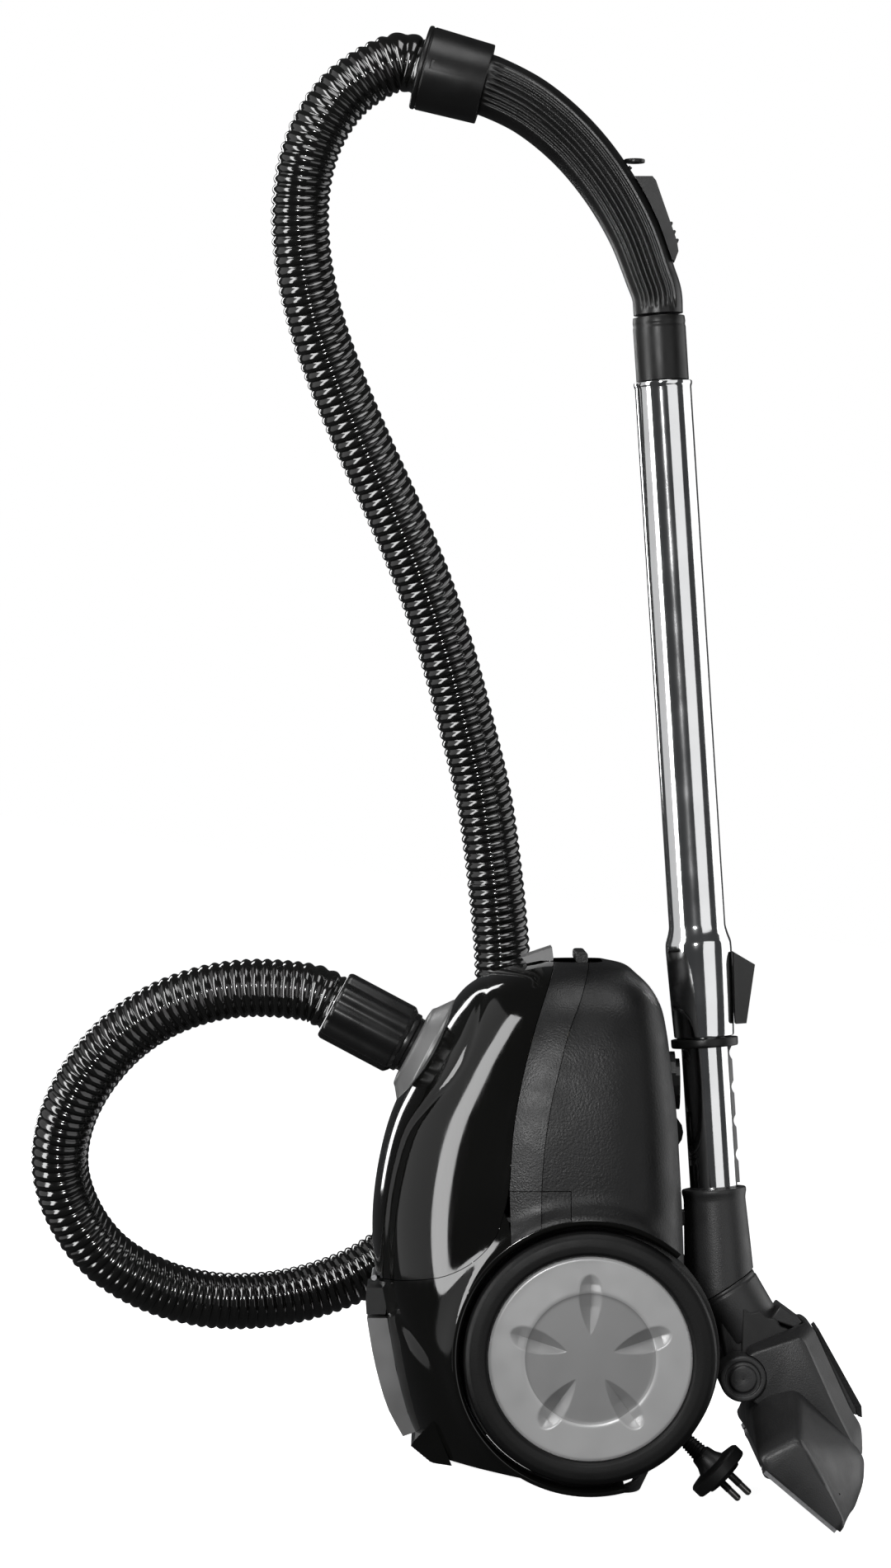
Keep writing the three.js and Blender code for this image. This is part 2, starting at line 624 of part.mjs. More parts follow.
// The suction regulator: a slider that follows the bend on the back of the handle.
const BEND = { x: -49.4, z: 307.4 };
const SLIDER_TRAVEL = 3 * DEG;
function regulator() {
  const wedge = plateY([[133, 429], [146, 429], [148.5, 426], [163.2, 383.5], [164.4, 376], [162, 369.5],
    [150, 372], [134, 410]], -8.5, 8.5);
  const moved = handleEnvelope(GAP).translate(-BEND.x, 0, -BEND.z).rotateY(-SLIDER_TRAVEL)
    .translate(BEND.x, 0, BEND.z);
  return cut(wedge, handleEnvelope(GAP), moved);
}

// ---------------------------------------------------------------- floor nozzle
const wandAxis = (geometry) => geometry.rotateY(-WAND_TILT).translate(WAND_TOP.x, 0, WAND_TOP.z);
// Stands a shape turned about z on the swivel plane, with -z pointing to the nozzle.
const swivelAxis = (geometry) => geometry.rotateY(-SWIVEL_TILT).translate(SWIVEL.x, 0, SWIVEL.z);

// The neck, with the hook that parks the wand on the canister.
function nozzleNeck() {
  const profile = turnedZ([[17.1, -NECK_TOP], [22.4, -NECK_TOP], [22.4, -574], [21.8, -577], [23.6, -610],
    [25, -640], [25, -690], [15, -690], [15, LOWER_END - 1], [17.1, LOWER_END - 1]], 20);
  const neck = cut(wandAxis(profile), swivelAxis(rodZ(70, -90, 0.3)));
  const leg = box(156, 161.8, -10, 10, -318, -299);
  const arm = cut(box(161, 175, -5, 5, -312, -301), wandAxis(rodZ(20, -700, -560)));
  return join(neck, leg, arm);
}

function nozzleElbow() {
  const tube = swivelAxis(turnedZ([[0, 0], [24.6, 0], [24.6, -2], [25, -3], [23.6, -38], [0, -38]], 20));
  const web = plateY([[190, -374], [222, -392], [222, -412], [196, -410]], -20, 20);
  const drum = turnedY([[0, -54.8], [10.4, -54.8], [11, -53.4], [16, -53], [16, 53], [11, 53.4], [10.4, 54.8],
    [0, 54.8]]).translate(KNUCKLE.x, 0, KNUCKLE.z);
  const cowl = plateY([[228, -376], [234.9, -366.5], [250.5, -378], [247, -383]], -23, 23);
  const bore = swivelAxis(rodZ(15, -70, 10));
  return cut(join(tube, web, drum, cowl), bore);
}

// Fan-shaped room in the nozzle body for the elbow, its web and its cowl.
function elbowRoom(half) {
  const reach = 58.5;
  const fan = [[KNUCKLE.x, KNUCKLE.z]];
  for (let angle = -25; angle <= 200; angle += 15) {
    fan.push([KNUCKLE.x + Math.cos(angle * DEG) * reach, KNUCKLE.z + Math.sin(angle * DEG) * reach]);
  }
  return plateY(fan, -half, half);
}

// Builds in the sole's frame: x along the sole towards the tip, z into the nozzle.
const SOLE = { x: 241, z: -490.4, tilt: 40 * DEG };
const soleFrame = (geometry) => geometry.rotateY(SOLE.tilt).translate(SOLE.x, 0, SOLE.z);
const solePoint = (x, z) => ({
  x: SOLE.x + x * Math.cos(SOLE.tilt) + z * Math.sin(SOLE.tilt),
  z: SOLE.z - x * Math.sin(SOLE.tilt) + z * Math.cos(SOLE.tilt),
});

function bevelled(outline, half, bevel) {
  const shape = new THREE.Shape(outline.map(([x, z]) => new THREE.Vector2(x, z)));
  const solid = new THREE.ExtrudeGeometry(shape, { depth: 2 * (half - bevel), bevelThickness: bevel,
    bevelSize: bevel, bevelOffset: -bevel, bevelSegments: 2 });
  return solid.rotateX(Math.PI / 2).translate(0, half - bevel, 0);
}

const ROLLER = { x: -26, z: 2.2, r: 5, y: 100 };
function nozzleBody() {
  const outline = [[208, -425], [208.5, -449.6], [214, -461], [214.5, -468], [240, -490], [266, -511.5],
    [279.5, -499], [284.8, -470.4], [286.5, -439.5], [280.3, -427.1], [262, -420], [243.2, -413.7], [226, -418]];
  const hump = [[226, -396], [246.2, -385], [253.5, -377.8], [257, -380], [287.8, -461], [270, -470],
    [230, -440], [221, -430]];
  const whole = join(bevelled(outline, NOZZLE_HALF, 4), bevelled(hump, 48, 2));
  const chamber = soleFrame(box(-22, 20, -120, 120, 0, 22));
  const duct = plateY([[228, -466], [248, -474], [240, -404], [216, -408]], -13, 13);
  const rollers = [1, -1].map((side) =>
    soleFrame(rodY(ROLLER.r + 1, side * ROLLER.y - 5, side * ROLLER.y + 5, ROLLER.x, ROLLER.z)));
  return cut(whole, soleFrame(box(-60, 60, -140, 140, -30, 3.2)), chamber, duct, ...rollers,
    elbowRoom(26), rodY(16.6, -60, 60, KNUCKLE.x, KNUCKLE.z), pedalRoom());
}

// Room for the pedal to be pressed into.
const pedalRoom = () =>
  plateY([[260.5, -386.5], [282.8, -441], [283.4, -448.6], [296, -448.6], [296, -386.5]], -24.6, 24.6);

const MOUTH = { half: 15, y: 110 };
function solePlate() {
  const plate = soleFrame(box(-32, 31, -129, 129, 0, 2.8));
  const mouth = soleFrame(box(-MOUTH.half, MOUTH.half, -MOUTH.y, MOUTH.y, -5, 8));
  const rollers = [1, -1].map((side) =>
    soleFrame(box(ROLLER.x - 6.2, ROLLER.x + 6.2, side * ROLLER.y - 4.6, side * ROLLER.y + 4.6, -5, 8)));
  return cut(plate, mouth, ...rollers);
}

function brushFrame() {
  const ring = cut(box(-13.6, 13.6, -106, 106, 10, 16), box(-11, 11, -102, 102, 5, 20));
  const rows = [-1, 1].map((side) =>
    box(Math.min(side * 13.2, side * 11.4), Math.max(side * 13.2, side * 11.4), -105, 105, 3.6, 11));
  return soleFrame(join(ring, ...rows));
}

const nozzleRoller = () => turnedY([[0, -4], [ROLLER.r, -4], [ROLLER.r, 4], [0, 4]], 16);

function nozzlePedal() {
  return plateY([[260, -384.5], [262, -382.6], [292.2, -437], [292.6, -445], [289.6, -444], [288.4, -439]],
    -24, 24);
}

function bellows() {
  const rings = turnedZ([[16, -39], [21, -39], [22.4, -41], [21, -43], [22, -45], [20.6, -47], [20.6, -49],
    [16, -49]]);
  const room = [[226, -388], [247, -384], [246, -402], [224, -404]];
  return common(swivelAxis(rings), plateY(room, -20, 20));
}

// ---------------------------------------------------------------- corrugated hose
// Its line leaves the connector, loops out beside the canister, passes behind it and climbs to the cuff.
const hoseStart = along(INLET, HOSE_TILT, CONNECTOR_END + GAP);
const hoseEnd = along(CUFF, CUFF_TILT, CUFF_LEN + GAP);
const hoseOut = along(INLET, HOSE_TILT, CONNECTOR_END + 14);
const hoseIn = along(CUFF, CUFF_TILT, CUFF_LEN + 14);
const HOSE_LOWER = [[hoseStart.x, 0, hoseStart.z], [hoseOut.x, 0, hoseOut.z],
  [-110, 1, -145.5], [-140, 3, -144.5], [-170, 6, -149], [-202, 12, -161], [-231, 22, -181],
  [-256, 34, -210], [-272, 46, -242], [-277, 58, -275], [-268, 72, -310],
  [-246, 86, -342], [-213, 100, -364], [-175, 113, -376], [-135, 125, -378], [-97, 136, -372],
  [-60, 144, -358], [-27, 149, -335], [-6, 151.6, -313.7], [1, 152, -304]];
const HOSE_MIDDLE = [[1.35, 152, -303.5], [9.2, 152.5, -292.7], [22, 152, -266], [34, 151, -230],
  [41, 149, -185], [42, 144, -135], [38.6, 137.5, -90], [36.4, 134.3, -70]];
const HOSE_UPPER = [[36.33, 134.24, -69.5], [34, 131, -50], [28, 124, -10], [16.5, 113, 38], [2, 100, 92],
  [-16, 86, 146], [-38, 70, 198], [-60, 54, 246], [-79, 40, 291], [-93, 27, 332], [-101, 16, 371],
  [-103, 8, 408], [-98, 3, 441], [-86, 1, 469], [-66, 0, 493], [hoseIn.x, 0, hoseIn.z],
  [hoseEnd.x, 0, hoseEnd.z]];
const hose = (line, steps) => rodAlong(line, () => HOSE_R, steps, 8);

// ---------------------------------------------------------------- assembly
const carriage = new THREE.Group();
carriage.rotation.y = -LEAN;

function put(name, geometry, material, place = {}, parent = carriage) {
  const mesh = new THREE.Mesh(geometry, material);
  mesh.name = name;
  mesh.position.set(place.x ?? 0, place.y ?? 0, place.z ?? 0);
  parent.add(mesh);
}

put('lower_housing', lowerHousing(), MATTE);
put('rear_housing', rearHousing(), GLOSS);
put('dust_cover', dustCover(), GLOSS);
put('carry_band', carryBand(), MATTE);
put('lid_latch', latch(), SILVER);
put('lid_hinge_pin', hingePin(), STEEL);
put('inlet_ring', inletRing(), SILVER);
put('rear_trim', rearTrim(), SILVER);
put('rear_foot', rearFoot(), DARK);
put('power_button', rearButton(-1), DARK);
put('rewind_button', rearButton(1), DARK);
put('caster_well', casterWell(), DARK);
put('caster_fork', casterFork(), DARK);
put('caster_wheel', casterWheel(), RUBBER, { x: CASTER.wheelX, z: CASTER.wheelZ });
put('parking_socket', parkingSocket(), DARK);
for (const [side, word] of [[-1, 'left'], [1, 'right']]) {
  const sided = (geometry) => (side > 0 ? geometry : mirrored(geometry));
  put(`wheel_arch_${word}`, wheelArch(side), GLOSS);
  put(`tyre_${word}`, sided(tyre()), RUBBER, AXLE);
  put(`hub_cap_${word}`, sided(hubCap()), SILVER, AXLE);
  put(`stub_axle_${word}`, sided(stubAxle()), STEEL, AXLE);
}

put('bulkhead', bulkhead(), DARK);
put('motor_filter', motorFilter(), FOAM);
put('motor_housing', motorHousing(), DARK);
put('motor_stator', motorStator(), COPPER);
put('motor_rotor', motorRotor(), STEEL);
put('exhaust_filter', exhaustFilter(), FOAM);
put('bag_holder', bagHolder(), DARK);
put('dust_bag', dustBag(), PAPER);
put('reel_drum', reelDrum(), DARK);
put('reel_axle', reelAxle(), STEEL);
put('cord_winding', cordWinding(), RUBBER);
put('cord_lead', cordLead(), RUBBER);
put('circuit_board', circuitBoard(), BOARD);
put('outlet_grommet', outletGrommet(), DARK);
put('mains_plug', plug(), DARK);

const wand = new THREE.Group();
wand.position.set(WAND_TOP.x, 0, WAND_TOP.z);
wand.rotation.y = -WAND_TILT;
carriage.add(wand);
put('upper_tube', upperTube(), CHROME, {}, wand);
put('wand_collar', wandCollar(), DARK, {}, wand);
put('tube_button', tubeButton(), DARK, {}, wand);
put('neck_sleeve', neckSleeve(), DARK, {}, wand);
put('lower_tube', lowerTube(), CHROME, {}, wand);
put('rack_strip', rackStrip(), SILVER, {}, wand);

put('handle', handle(), DARK);
put('hose_cuff', hoseCuff(), DARK);
put('regulator_slider', regulator(), DARK);
put('hose_connector', hoseConnector(), GLOSS);
put('hose_lower', hose(HOSE_LOWER, 40), HOSE);
put('hose_middle', hose(HOSE_MIDDLE, 14), HOSE);
put('hose_upper', hose(HOSE_UPPER, 34), HOSE);

put('nozzle_neck', nozzleNeck(), DARK);
put('nozzle_elbow', nozzleElbow(), DARK);
put('nozzle_bellows', bellows(), RUBBER);
put('nozzle_body', nozzleBody(), DARK);
put('sole_plate', solePlate(), STEEL);
put('brush_frame', brushFrame(), BRISTLE);
put('nozzle_pedal', nozzlePedal(), MATTE);
for (const [side, word] of [[-1, 'left'], [1, 'right']]) {
  const spot = { ...solePoint(ROLLER.x, ROLLER.z), y: side * ROLLER.y };
  put(`nozzle_roller_${word}`, nozzleRoller(), RUBBER, spot);
}

// The origin is the middle of the footprint on the floor, measured without the hose.
const HOSE_NODES = ['hose_lower', 'hose_middle', 'hose_upper'];
const cleaner = new THREE.Group();
cleaner.add(carriage);
cleaner.updateMatrixWorld(true);
const footprint = new THREE.Box3();
carriage.traverse((piece) => {
  if (piece.isMesh && !HOSE_NODES.includes(piece.name)) {
    footprint.expandByObject(piece, true);
  }
});
carriage.position.set(-(footprint.min.x + footprint.max.x) / 2, 0, -footprint.min.z);

export default cleaner;
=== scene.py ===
"""Looks for the canister vacuum cleaner: it stands on its rear end with the wand parked beside it.

Every shape is built in the canister's own "carriage" frame in millimetres (x from the lid side to the
underside, y across, z up to the nose), and CARRIAGE then carries it into the row frame in metres.
"""
import json
import math

import bmesh
import bpy
from mathutils import Matrix, Vector


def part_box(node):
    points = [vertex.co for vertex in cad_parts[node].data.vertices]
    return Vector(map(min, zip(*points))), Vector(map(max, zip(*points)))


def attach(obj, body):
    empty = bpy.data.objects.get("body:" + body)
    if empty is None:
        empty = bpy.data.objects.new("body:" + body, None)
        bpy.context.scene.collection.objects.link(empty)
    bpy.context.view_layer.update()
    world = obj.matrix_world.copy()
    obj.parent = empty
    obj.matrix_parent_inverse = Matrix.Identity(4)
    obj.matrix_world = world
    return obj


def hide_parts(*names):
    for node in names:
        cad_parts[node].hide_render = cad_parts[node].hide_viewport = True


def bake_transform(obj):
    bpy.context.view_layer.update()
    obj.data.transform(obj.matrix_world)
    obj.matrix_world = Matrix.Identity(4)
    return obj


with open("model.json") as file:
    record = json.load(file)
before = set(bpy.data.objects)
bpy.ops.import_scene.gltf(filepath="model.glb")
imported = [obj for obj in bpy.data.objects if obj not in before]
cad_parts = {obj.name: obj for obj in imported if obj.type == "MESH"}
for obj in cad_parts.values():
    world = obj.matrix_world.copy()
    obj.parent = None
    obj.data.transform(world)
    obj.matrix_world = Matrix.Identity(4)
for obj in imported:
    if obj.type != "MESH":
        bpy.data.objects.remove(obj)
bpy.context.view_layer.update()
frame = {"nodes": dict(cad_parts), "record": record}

# ---- driving dimensions (mm, degrees)
# Places are (x, z) in the carriage frame. Tilts are in its xz plane.
LEAN = 8.6
AXLE = (98.5, -391.0)
WAND_TOP = (153.6, 284.4)
WAND_TILT = 3.62
INLET = (-23.0, -185.1)
HOSE_TILT = 28.0
CUFF = (28.0, 494.7)
CUFF_TILT = 15.1
CUFF_LENGTH = 48.0
SWIVEL = (196.0, -355.5)
SWIVEL_TILT = 32.0
KNUCKLE = (207.2, -414.6)
OUTLET = (160.5, -449.6)
OUTLET_Y = -60.0
PLUG_TILT = 44.0
SOLE = (241.0, -490.4)
SOLE_TILT = 40.0
CASTER_Z = -212.0
WALL = 2.6
SEAM = 0.5
CONNECTOR_END = 63.4
SIDES = ((-1, "left"), (1, "right"))


def turned(tilt):
    return Matrix.Rotation(math.radians(tilt), 4, "Y")


def placed(x, z, tilt=0.0, y=0.0):
    return Matrix.Translation((x, y, z)) @ turned(tilt)


def carriage_matrix():
    """Carriage millimetres to row metres: the axle of the CAD wheels fixes the shift."""
    low, high = (Vector(corner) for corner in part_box("tyre_left"))
    axle = (low + high) / 2
    lean = turned(-LEAN) @ Matrix.Scale(0.001, 4)
    start = lean @ Vector((AXLE[0], 0, AXLE[1]))
    return Matrix.Translation((axle.x - start.x, 0, axle.z - start.z)) @ lean


CARRIAGE = carriage_matrix()
INLET_AXIS = placed(*INLET, HOSE_TILT - 90)
CUFF_AXIS = placed(*CUFF, CUFF_TILT - 90)
WAND_AXIS = placed(*WAND_TOP, -WAND_TILT)
SWIVEL_AXIS = placed(*SWIVEL, -SWIVEL_TILT)
PLUG_AXIS = placed(*OUTLET, 90 + PLUG_TILT, OUTLET_Y)
SOLE_AXIS = placed(*SOLE, SOLE_TILT)
KNUCKLE_AXIS = placed(*KNUCKLE) @ Matrix.Rotation(math.radians(-90), 4, "X")


# ---- camera, lights and stage
CAMERA_AWAY = 3500.0
SENSOR = 36.0
FOCAL_OVER_HEIGHT = 6000 / 1901
FLOOR_REACH = 20.0
CORNERS = ((-1, -1), (1, -1), (1, 1), (-1, 1))
LIGHT_AIM = (0.0, 0.0, 0.35)


def set_inputs(node, values):
    for name, value in values.items():
        node.inputs[name].default_value = value


def new_object(name, data):
    item = bpy.data.objects.new(name, data)
    bpy.context.scene.collection.objects.link(item)
    return item


def row_direction(x, y, z):
    return (CARRIAGE.to_3x3() @ Vector((x, y, z))).normalized()


def add_camera():
    """Level with the middle of the carriage frame and rolled with its lean."""
    data = bpy.data.cameras.new("camera")
    camera = new_object("camera", data)
    data.sensor_width = SENSOR
    data.lens = SENSOR * FOCAL_OVER_HEIGHT
    data.clip_end = 100
    right = row_direction(1, 0, 0)
    up = row_direction(0, 0, 1)
    back = row_direction(0, -1, 0)
    turn = Matrix((right, up, back)).transposed().to_4x4()
    camera.matrix_world = Matrix.Translation(CARRIAGE @ Vector((0, -CAMERA_AWAY, 0))) @ turn
    bpy.context.scene.camera = camera


def add_light(name, place, size, power):
    """A flat lamp that faces the middle of the canister."""
    data = bpy.data.lights.new(name, "AREA")
    data.shape = "RECTANGLE"
    data.size, data.size_y = size
    data.energy = power
    light = new_object(name, data)
    light.location = place
    aim = Vector(LIGHT_AIM) - Vector(place)
    light.rotation_euler = aim.to_track_quat("-Z", "Y").to_euler()


def seen_apart(tree, seen, lighting, surface):
    """The camera sees one shader on the surface, and all other rays meet the other."""
    mix = tree.nodes.new("ShaderNodeMixShader")
    path = tree.nodes.new("ShaderNodeLightPath")
    tree.links.new(path.outputs["Is Camera Ray"], mix.inputs["Fac"])
    tree.links.new(lighting.outputs[0], mix.inputs[1])
    tree.links.new(seen.outputs[0], mix.inputs[2])
    tree.links.new(mix.outputs[0], surface)


def add_world():
    """White where the camera looks straight at it, and a dim grey room for the light on the object."""
    world = bpy.data.worlds.new("studio")
    bpy.context.scene.world = world
    world.use_nodes = True
    nodes = world.node_tree.nodes
    nodes.clear()
    output = nodes.new("ShaderNodeOutputWorld")
    room = nodes.new("ShaderNodeBackground")
    seen = nodes.new("ShaderNodeBackground")
    set_inputs(room, {"Color": (0.9, 0.92, 0.95, 1), "Strength": 0.05})
    set_inputs(seen, {"Color": (1, 1, 1, 1), "Strength": 1.0})
    seen_apart(world.node_tree, seen, room, output.inputs["Surface"])


def add_stage():
    """A floor that looks white and throws little light up."""
    mesh = bpy.data.meshes.new("floor")
    mesh.from_pydata([(x * FLOOR_REACH, y * FLOOR_REACH, 0) for x, y in CORNERS], [], [(0, 1, 2, 3)])
    floor = new_object("floor", mesh)
    material = bpy.data.materials.new("floor_white")
    material.use_nodes = True
    nodes = material.node_tree.nodes
    pale = nodes["Principled BSDF"]
    set_inputs(pale, {"Base Color": (0.9, 0.9, 0.9, 1), "Roughness": 0.9,
                      "Emission Color": (1, 1, 1, 1), "Emission Strength": 0.97})
    dim = nodes.new("ShaderNodeBsdfDiffuse")
    set_inputs(dim, {"Color": (0.2, 0.2, 0.2, 1)})
    seen_apart(material.node_tree, pale, dim, nodes["Material Output"].inputs["Surface"])
    mesh.materials.append(material)
    floor.visible_glossy = False


def add_studio():
    add_world()
    add_stage()
    add_light("strip_left", (-2.1, -1.0, 0.5), (0.6, 3.0), 52)
    add_light("card_front", (1.75, -2.55, 0.7), (2.3, 3.0), 19)
    add_light("card_left", (-2.5, 0.15, 0.6), (1.9, 3.0), 10)
    add_light("card_side", (2.3, 0.9, 0.7), (2.4, 2.8), 30)
    add_light("top", (-0.2, -0.9, 2.6), (1.2, 1.2), 20)
    add_light("front_spot", (-0.75, -3.2, 0.95), (0.22, 0.45), 46)
    add_light("back_left", (-1.5, 1.9, 0.9), (0.3, 2.0), 14)
    bpy.context.scene.view_settings.view_transform = "Standard"


# ---- materials
MATERIALS = {}


def new_material(name, color, rough, metallic=0.0):
    """A plain material, kept in MATERIALS under its name."""
    material = bpy.data.materials.new(name)
    MATERIALS[name] = material
    material.use_nodes = True
    shader = material.node_tree.nodes["Principled BSDF"]
    set_inputs(shader, {"Base Color": (*color, 1), "Roughness": rough, "Metallic": metallic})
    return material, shader


def noise(material, scale, detail=3.0, stretch=(1, 1, 1)):
    """Noise over the object's own coordinates, in metres."""
    nodes, links = material.node_tree.nodes, material.node_tree.links
    place = nodes.new("ShaderNodeTexCoord")
    mapping = nodes.new("ShaderNodeMapping")
    set_inputs(mapping, {"Scale": stretch})
    texture = nodes.new("ShaderNodeTexNoise")
    set_inputs(texture, {"Scale": scale, "Detail": detail})
    links.new(place.outputs["Object"], mapping.inputs["Vector"])
    links.new(mapping.outputs["Vector"], texture.inputs["Vector"])
    return texture.outputs["Fac"]


def rough_range(material, shader, value, low, high):
    """Roughness that drifts from low to high with a noise value, which is mostly 0.3 to 0.7."""
    spread = material.node_tree.nodes.new("ShaderNodeMapRange")
    set_inputs(spread, {"From Min": 0.3, "From Max": 0.7, "To Min": low, "To Max": high})
    material.node_tree.links.new(value, spread.inputs["Value"])
    material.node_tree.links.new(spread.outputs["Result"], shader.inputs["Roughness"])


def add_bump(material, shader, height, strength, distance):
    bump = material.node_tree.nodes.new("ShaderNodeBump")
    set_inputs(bump, {"Strength": strength, "Distance": distance})
    material.node_tree.links.new(height, bump.inputs["Height"])
    material.node_tree.links.new(bump.outputs["Normal"], shader.inputs["Normal"])


def shade_range(material, shader, value, dark, light):
    """Base colour that drifts between two colours with the value."""
    ramp = material.node_tree.nodes.new("ShaderNodeValToRGB")
    ramp.color_ramp.elements[0].position = 0.35
    ramp.color_ramp.elements[0].color = (*dark, 1)
    ramp.color_ramp.elements[1].position = 0.65
    ramp.color_ramp.elements[1].color = (*light, 1)
    material.node_tree.links.new(value, ramp.inputs["Fac"])
    material.node_tree.links.new(ramp.outputs["Color"], shader.inputs["Base Color"])


def varied(color, amount):
    """A darker and a lighter version of a colour."""
    return tuple(c * (1 - amount) for c in color), tuple(c * (1 + amount) for c in color)


def moulded(name, color, rough, grain=2200.0, depth=0.35, metallic=0.0, drift=0.12, spread=0.06, shine=0.5):
    """Moulded or painted plastic: fine surface grain, and colour and gloss that drift slightly."""
    material, shader = new_material(name, color, rough, metallic)
    set_inputs(shader, {"Specular IOR Level": shine})
    cloud = noise(material, 14.0)
    shade_range(material, shader, cloud, *varied(color, drift))
    wear = noise(material, 55.0, 4.0)
    rough_range(material, shader, wear, max(0.02, rough - spread), rough + spread)
    add_bump(material, shader, noise(material, grain, 2.0), depth, 0.0002)


def gloss(name, color, rough=0.05, shine=0.5):
    """Polished black plastic: a faint long waviness and hair-fine swirls in the gloss."""
    material, shader = new_material(name, color, rough)
    set_inputs(shader, {"Specular IOR Level": shine})
    shade_range(material, shader, noise(material, 9.0), *varied(color, 0.2))
    swirls = noise(material, 260.0, 6.0, (1, 1, 0.12))
    rough_range(material, shader, swirls, rough, rough + 0.05)
    add_bump(material, shader, noise(material, 18.0, 1.0), 0.08, 0.0008)


def plated(name, color, rough):
    """Chromed tube: lengthwise drawing marks and a few fingerprints in the polish."""
    material, shader = new_material(name, color, rough, 1.0)
    marks = noise(material, 900.0, 3.0, (1, 1, 0.01))
    prints = noise(material, 38.0, 5.0)
    shade_range(material, shader, prints, tuple(c * 0.94 for c in color), color)
    rough_range(material, shader, prints, rough, rough + 0.05)
    add_bump(material, shader, marks, 0.05, 0.0001)


def machined(name, color, rough):
    """Bare metal with fine tool marks across it."""
    material, shader = new_material(name, color, rough, 1.0)
    lines = noise(material, 700.0, 2.0, (1, 0.04, 1))
    shade_range(material, shader, lines, *varied(color, 0.12))
    add_bump(material, shader, lines, 0.25, 0.0001)


def fibrous(name, color, rough, scale, depth):
    """Foam, bristle and paper: deep, uneven texture."""
    material, shader = new_material(name, color, rough)
    web = noise(material, scale, 8.0)
    shade_range(material, shader, web, *varied(color, 0.35))
    add_bump(material, shader, web, depth, 0.0006)


def grey(level):
    return level, level, level


def make_materials():
    moulded("grained_plastic", (0.0065, 0.0065, 0.0067), 0.4, 650.0, 1.0, shine=0.26)
    moulded("band_plastic", (0.008, 0.008, 0.0082), 0.38, 800.0, 0.9, shine=0.34)
    gloss("gloss_black", (0.0035, 0.0035, 0.0032))
    moulded("silver_plastic", grey(0.17), 0.36, 2600.0, 0.15, 0.35)
    moulded("hub_silver", grey(0.38), 0.36, 3000.0, 0.1, 0.25, 0.05)
    moulded("hub_disc", grey(0.21), 0.45, 2600.0, 0.2, 0.2, 0.05)
    moulded("tyre_rubber", grey(0.004), 0.5, 900.0, 0.4, shine=0.22)
    moulded("soft_rubber", grey(0.012), 0.6, 1200.0, 0.3)
    plated("chrome_tube", (0.86, 0.865, 0.87), 0.07)
    moulded("handle_plastic", grey(0.006), 0.32, 2400.0, 0.25, shine=0.4)
    moulded("satin_black", grey(0.006), 0.36, 2600.0, 0.2, shine=0.35)
    moulded("connector_plastic", grey(0.008), 0.3, 2600.0, 0.12)
    gloss("hose_plastic", (0.0045, 0.0045, 0.0042), 0.1, 0.9)
    moulded("plug_plastic", grey(0.007), 0.4, 2400.0, 0.25, shine=0.35)
    moulded("cord_plastic", grey(0.012), 0.5, 1500.0, 0.2)
    machined("copper_winding", (0.6, 0.27, 0.12), 0.35)
    machined("machine_steel", (0.5, 0.5, 0.51), 0.32)
    machined("sole_metal", (0.5, 0.5, 0.51), 0.3)
    fibrous("bag_paper", (0.62, 0.55, 0.42), 0.9, 420.0, 0.6)
    fibrous("filter_foam", (0.12, 0.13, 0.14), 0.95, 800.0, 0.9)
    moulded("board_green", (0.03, 0.16, 0.05), 0.4, 700.0, 0.3)
    fibrous("bristle_dark", grey(0.02), 0.9, 1600.0, 1.0)
    moulded("nozzle_plastic", (0.02, 0.02, 0.0204), 0.42, 1100.0, 0.6)
    moulded("dark_plastic", grey(0.009), 0.42, 2200.0, 0.35, shine=0.4)
    # The hub rim material's lighter grey is a painted highlight, the bright line along the hub's outer
    # edge.
    moulded("hub_rim_painted_highlight", grey(0.6), 0.28, 3000.0, 0.05, 0.4, 0.05)
    machined("plug_pin", (0.32, 0.31, 0.3), 0.3)


# ---- mesh tools
def between(p, q, start, end, t):
    """The point at t on the line that is at p at the start and at q at the end."""
    return p * ((end - t) / (end - start)) + q * ((t - start) / (end - start))


def spline(points, count):
    """Points evenly spaced along a centripetal Catmull-Rom curve through the given points."""
    knots = [Vector(p) for p in points]
    knots = [2 * knots[0] - knots[1], *knots, 2 * knots[-1] - knots[-2]]
    dense = []
    for p0, p1, p2, p3 in zip(knots, knots[1:], knots[2:], knots[3:]):
        t1 = max((p1 - p0).length, 1e-6) ** 0.5
        t2 = t1 + max((p2 - p1).length, 1e-6) ** 0.5
        t3 = t2 + max((p3 - p2).length, 1e-6) ** 0.5
        for step in range(40):
            t = t1 + (t2 - t1) * step / 40
            a1 = between(p0, p1, 0, t1, t)
            a2 = between(p1, p2, t1, t2, t)
            a3 = between(p2, p3, t2, t3, t)
            b1 = between(a1, a2, 0, t2, t)
            b2 = between(a2, a3, t1, t3, t)
            dense.append(between(b1, b2, t1, t2, t))
    dense.append(knots[-2])
    travelled = [0.0]
    for a, b in zip(dense, dense[1:]):
        travelled.append(travelled[-1] + (b - a).length)
    spaced = []
    place = 0
    for step in range(count + 1):
        goal = travelled[-1] * step / count
        while place + 2 < len(dense) and travelled[place + 1] < goal:
            place += 1
        share = (goal - travelled[place]) / (travelled[place + 1] - travelled[place])
        spaced.append(dense[place].lerp(dense[place + 1], share))
    return spaced


def line_length(points):
    return sum((b - a).length for a, b in zip(points, points[1:]))


def make_piece(name, verts, faces, material, place=None, smooth=True):
    """A mesh from carriage millimetres, moved by place first, with the named material."""
    matrix = CARRIAGE @ (place or Matrix.Identity(4))
    mesh = bpy.data.meshes.new(name)
    mesh.from_pydata([matrix @ Vector(v) for v in verts], [], faces)
    mesh.materials.append(MATERIALS[material])
    piece = new_object(name, mesh)
    fix_normals(mesh)
    if smooth:
        soften(mesh)
    return piece


